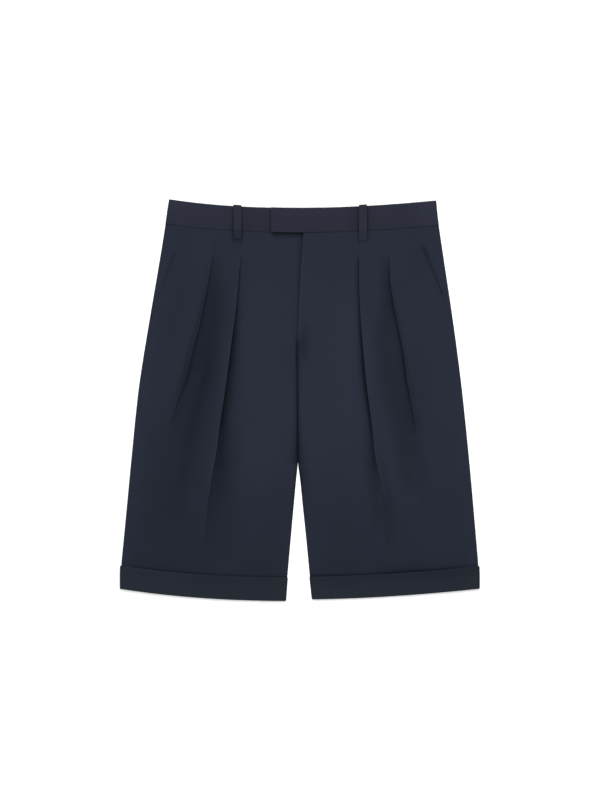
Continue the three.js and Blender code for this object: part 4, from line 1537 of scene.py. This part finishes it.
for half in (LEFT, RIGHT):
    stops = [half.hem + LEG_END, cuff_top(half), CROTCH, FLY_FOOT, POCKET_FOOT]
    upper = [POCKET_FOOT + MOUTH_START, SEWN_FREE, SEWN_DOWN, LIFTED_FROM, PANEL_TOP]
    panel_rows = rows_through([*stops, *upper], PANEL_ROW, CLOTH / 2)
    near_cuff = [cuff_top(half) + d for d in ROWS_BY_CUFF]
    near_waist = [WAIST_SEAM - d for d in ROWS_BY_WAIST]
    panel_rows = sorted({*panel_rows, *near_cuff, *near_waist})
    front = cloth_piece(f"front_panel_{half.name}", half, panel_rows, front_section, CLOTH, front_shape)
    dress(front, PANEL_CLOTH, f"front_{half.name}")

    back_rows = rows_through([*stops, LIFT_START, LIFTED_FROM, PANEL_TOP], BACK_ROW, CLOTH / 2)
    back = cloth_piece(f"back_panel_{half.name}", half, back_rows, back_section, CLOTH, back_shape)
    dress(back, PANEL_CLOTH, f"back_{half.name}")

    hip_rows = rows_through([POCKET_FOOT + MOUTH_START + SEAM_GAP, PANEL_TOP], HIP_ROW, CLOTH / 2)
    hip = cloth_piece(f"hip_piece_{half.name}", half, hip_rows, hip_section, CLOTH, hip_shape)
    dress(hip, PANEL_CLOTH, f"pocket_{half.name}")

    band_rows = rows_through([WAIST_SEAM + SEAM_GAP, WAIST_SEAM + BAND_HEIGHT], BAND_ROW, BAND / 2)
    band = cloth_piece(f"band_{half.name}", half, band_rows, band_section, BAND, band_shape)
    dress(band, BAND_CLOTH, f"waistband_{half.name}")

    cuff_rows = rows_through([half.hem, cuff_top(half)], CUFF_ROW, CUFF_WALL / 2)
    turn_up = f"turn_up_{half.name}"
    cuff = cloth_piece(turn_up, half, cuff_rows, cuff_section, CUFF_WALL, cuff_shape, closed=True)
    dress(cuff, CUFF_CLOTH, f"cuff_{half.name}")


def front_loop_section(loop):
    """The section of a loop that is sewn on below the waistband and stands off it in a slight bow."""
    foot = WAIST_SEAM - loop.drop
    on_panel = PANEL + CLOTH / 2 + SEAM_GAP + LOOP_CLOTH / 2
    on_band = BAND_RISE + SEAM_GAP + LOOP_CLOTH / 2

    def section(_, row):
        step = ease((row - WAIST_SEAM + LOOP_STEP) / LOOP_STEP)
        bow_out = LOOP_BOW * math.sin(math.pi * clamp((row - foot) / (LOOP_TOP - foot)))
        bend = LOOP_TOP_BEND * clamp((row - LOOP_TOP + LOOP_ROUND) / LOOP_ROUND) ** 2
        narrowing = 1 - LOOP_FOOT_NARROWING * (1 - clamp((row - foot) / LOOP_ROUND)) ** 2
        level = mix(on_panel, on_band, step) + bow_out - bend
        dim = FOOT_DARK[loop.half.name] * ease((WAIST_SEAM + FOOT_DARK_TOP - row) / FOOT_DARK_RUN)
        spots = []
        for part in ACROSS_LOOP:
            out = loop.at + part * LOOP_WIDTH * narrowing
            droop = LOOP_DROOP * (2 * part) ** 4
            spots.append(Spot(out, level - droop, dim, abs(part) * LOOP_EDGE_HIGHLIGHT))
        return spots
    return section


def back_loop_section(loop):
    """The section of a flat loop on the floor side, which runs the other way across."""
    def section(_, row):
        return [Spot(loop.at + part * LOOP_WIDTH, BACK_LOOP_CLOTH / 2) for part in reversed(ACROSS_LOOP)]
    return section


for loop in FRONT_LOOPS:
    rows = rows_through([WAIST_SEAM - loop.drop, LOOP_TOP], LOOP_ROW, LOOP_CLOTH / 2)
    strip = cloth_piece(f"{loop.name}_strip", loop.half, rows, front_loop_section(loop), LOOP_CLOTH)
    dress(strip, BAND_CLOTH, loop.name)
for loop in BACK_LOOPS:
    rows = rows_through([WAIST_SEAM - loop.drop, BACK_LOOP_TOP], BACK_LOOP_ROW, BACK_LOOP_CLOTH / 2)
    strip = cloth_piece(f"{loop.name}_strip", loop.half, rows, back_loop_section(loop), BACK_LOOP_CLOTH)
    dress(strip, BAND_CLOTH, loop.name)

# Floor and light
bpy.ops.object.select_all(action="DESELECT")
bpy.ops.mesh.primitive_plane_add(size=8.0, location=(0, 0, -0.0004))
floor = bpy.context.active_object
floor.name = "floor"
paper = bpy.data.materials.new("pale_floor")
paper.use_nodes = True
paper_shader = paper.node_tree.nodes["Principled BSDF"]
paper_shader.inputs["Base Color"].default_value = (0.95, 0.95, 0.95, 1)
paper_shader.inputs["Roughness"].default_value = 0.9
paper_shader.inputs["Emission Color"].default_value = (1, 1, 1, 1)
paper_shader.inputs["Emission Strength"].default_value = 0.4
floor.data.materials.append(paper)


def soft_light(name, place, aim, size, energy):
    """A large soft lamp that isn't itself seen."""
    light = bpy.data.lights.new(name, "AREA")
    light.shape = "RECTANGLE"
    light.size, light.size_y = size
    light.energy = energy
    lamp = bpy.data.objects.new(name, light)
    lamp.location = place
    lamp.rotation_euler = (Vector(aim) - Vector(place)).to_track_quat("-Z", "Y").to_euler()
    lamp.visible_camera = False
    bpy.context.collection.objects.link(lamp)


soft_light("window_beyond_the_waist", (0.0, 3.0, 2.4), (0, 0, 0), (2.2, 1.5), 92)
soft_light("lamp_over_the_seat", (0.01, 0.01, 0.68), (0.01, 0, 0), (0.4, 0.4), 4.0)

world = bpy.data.worlds.new("studio")
world.use_nodes = True
world.node_tree.nodes["Background"].inputs["Color"].default_value = (1, 1, 1, 1)
world.node_tree.nodes["Background"].inputs["Strength"].default_value = 0.33
bpy.context.scene.world = world
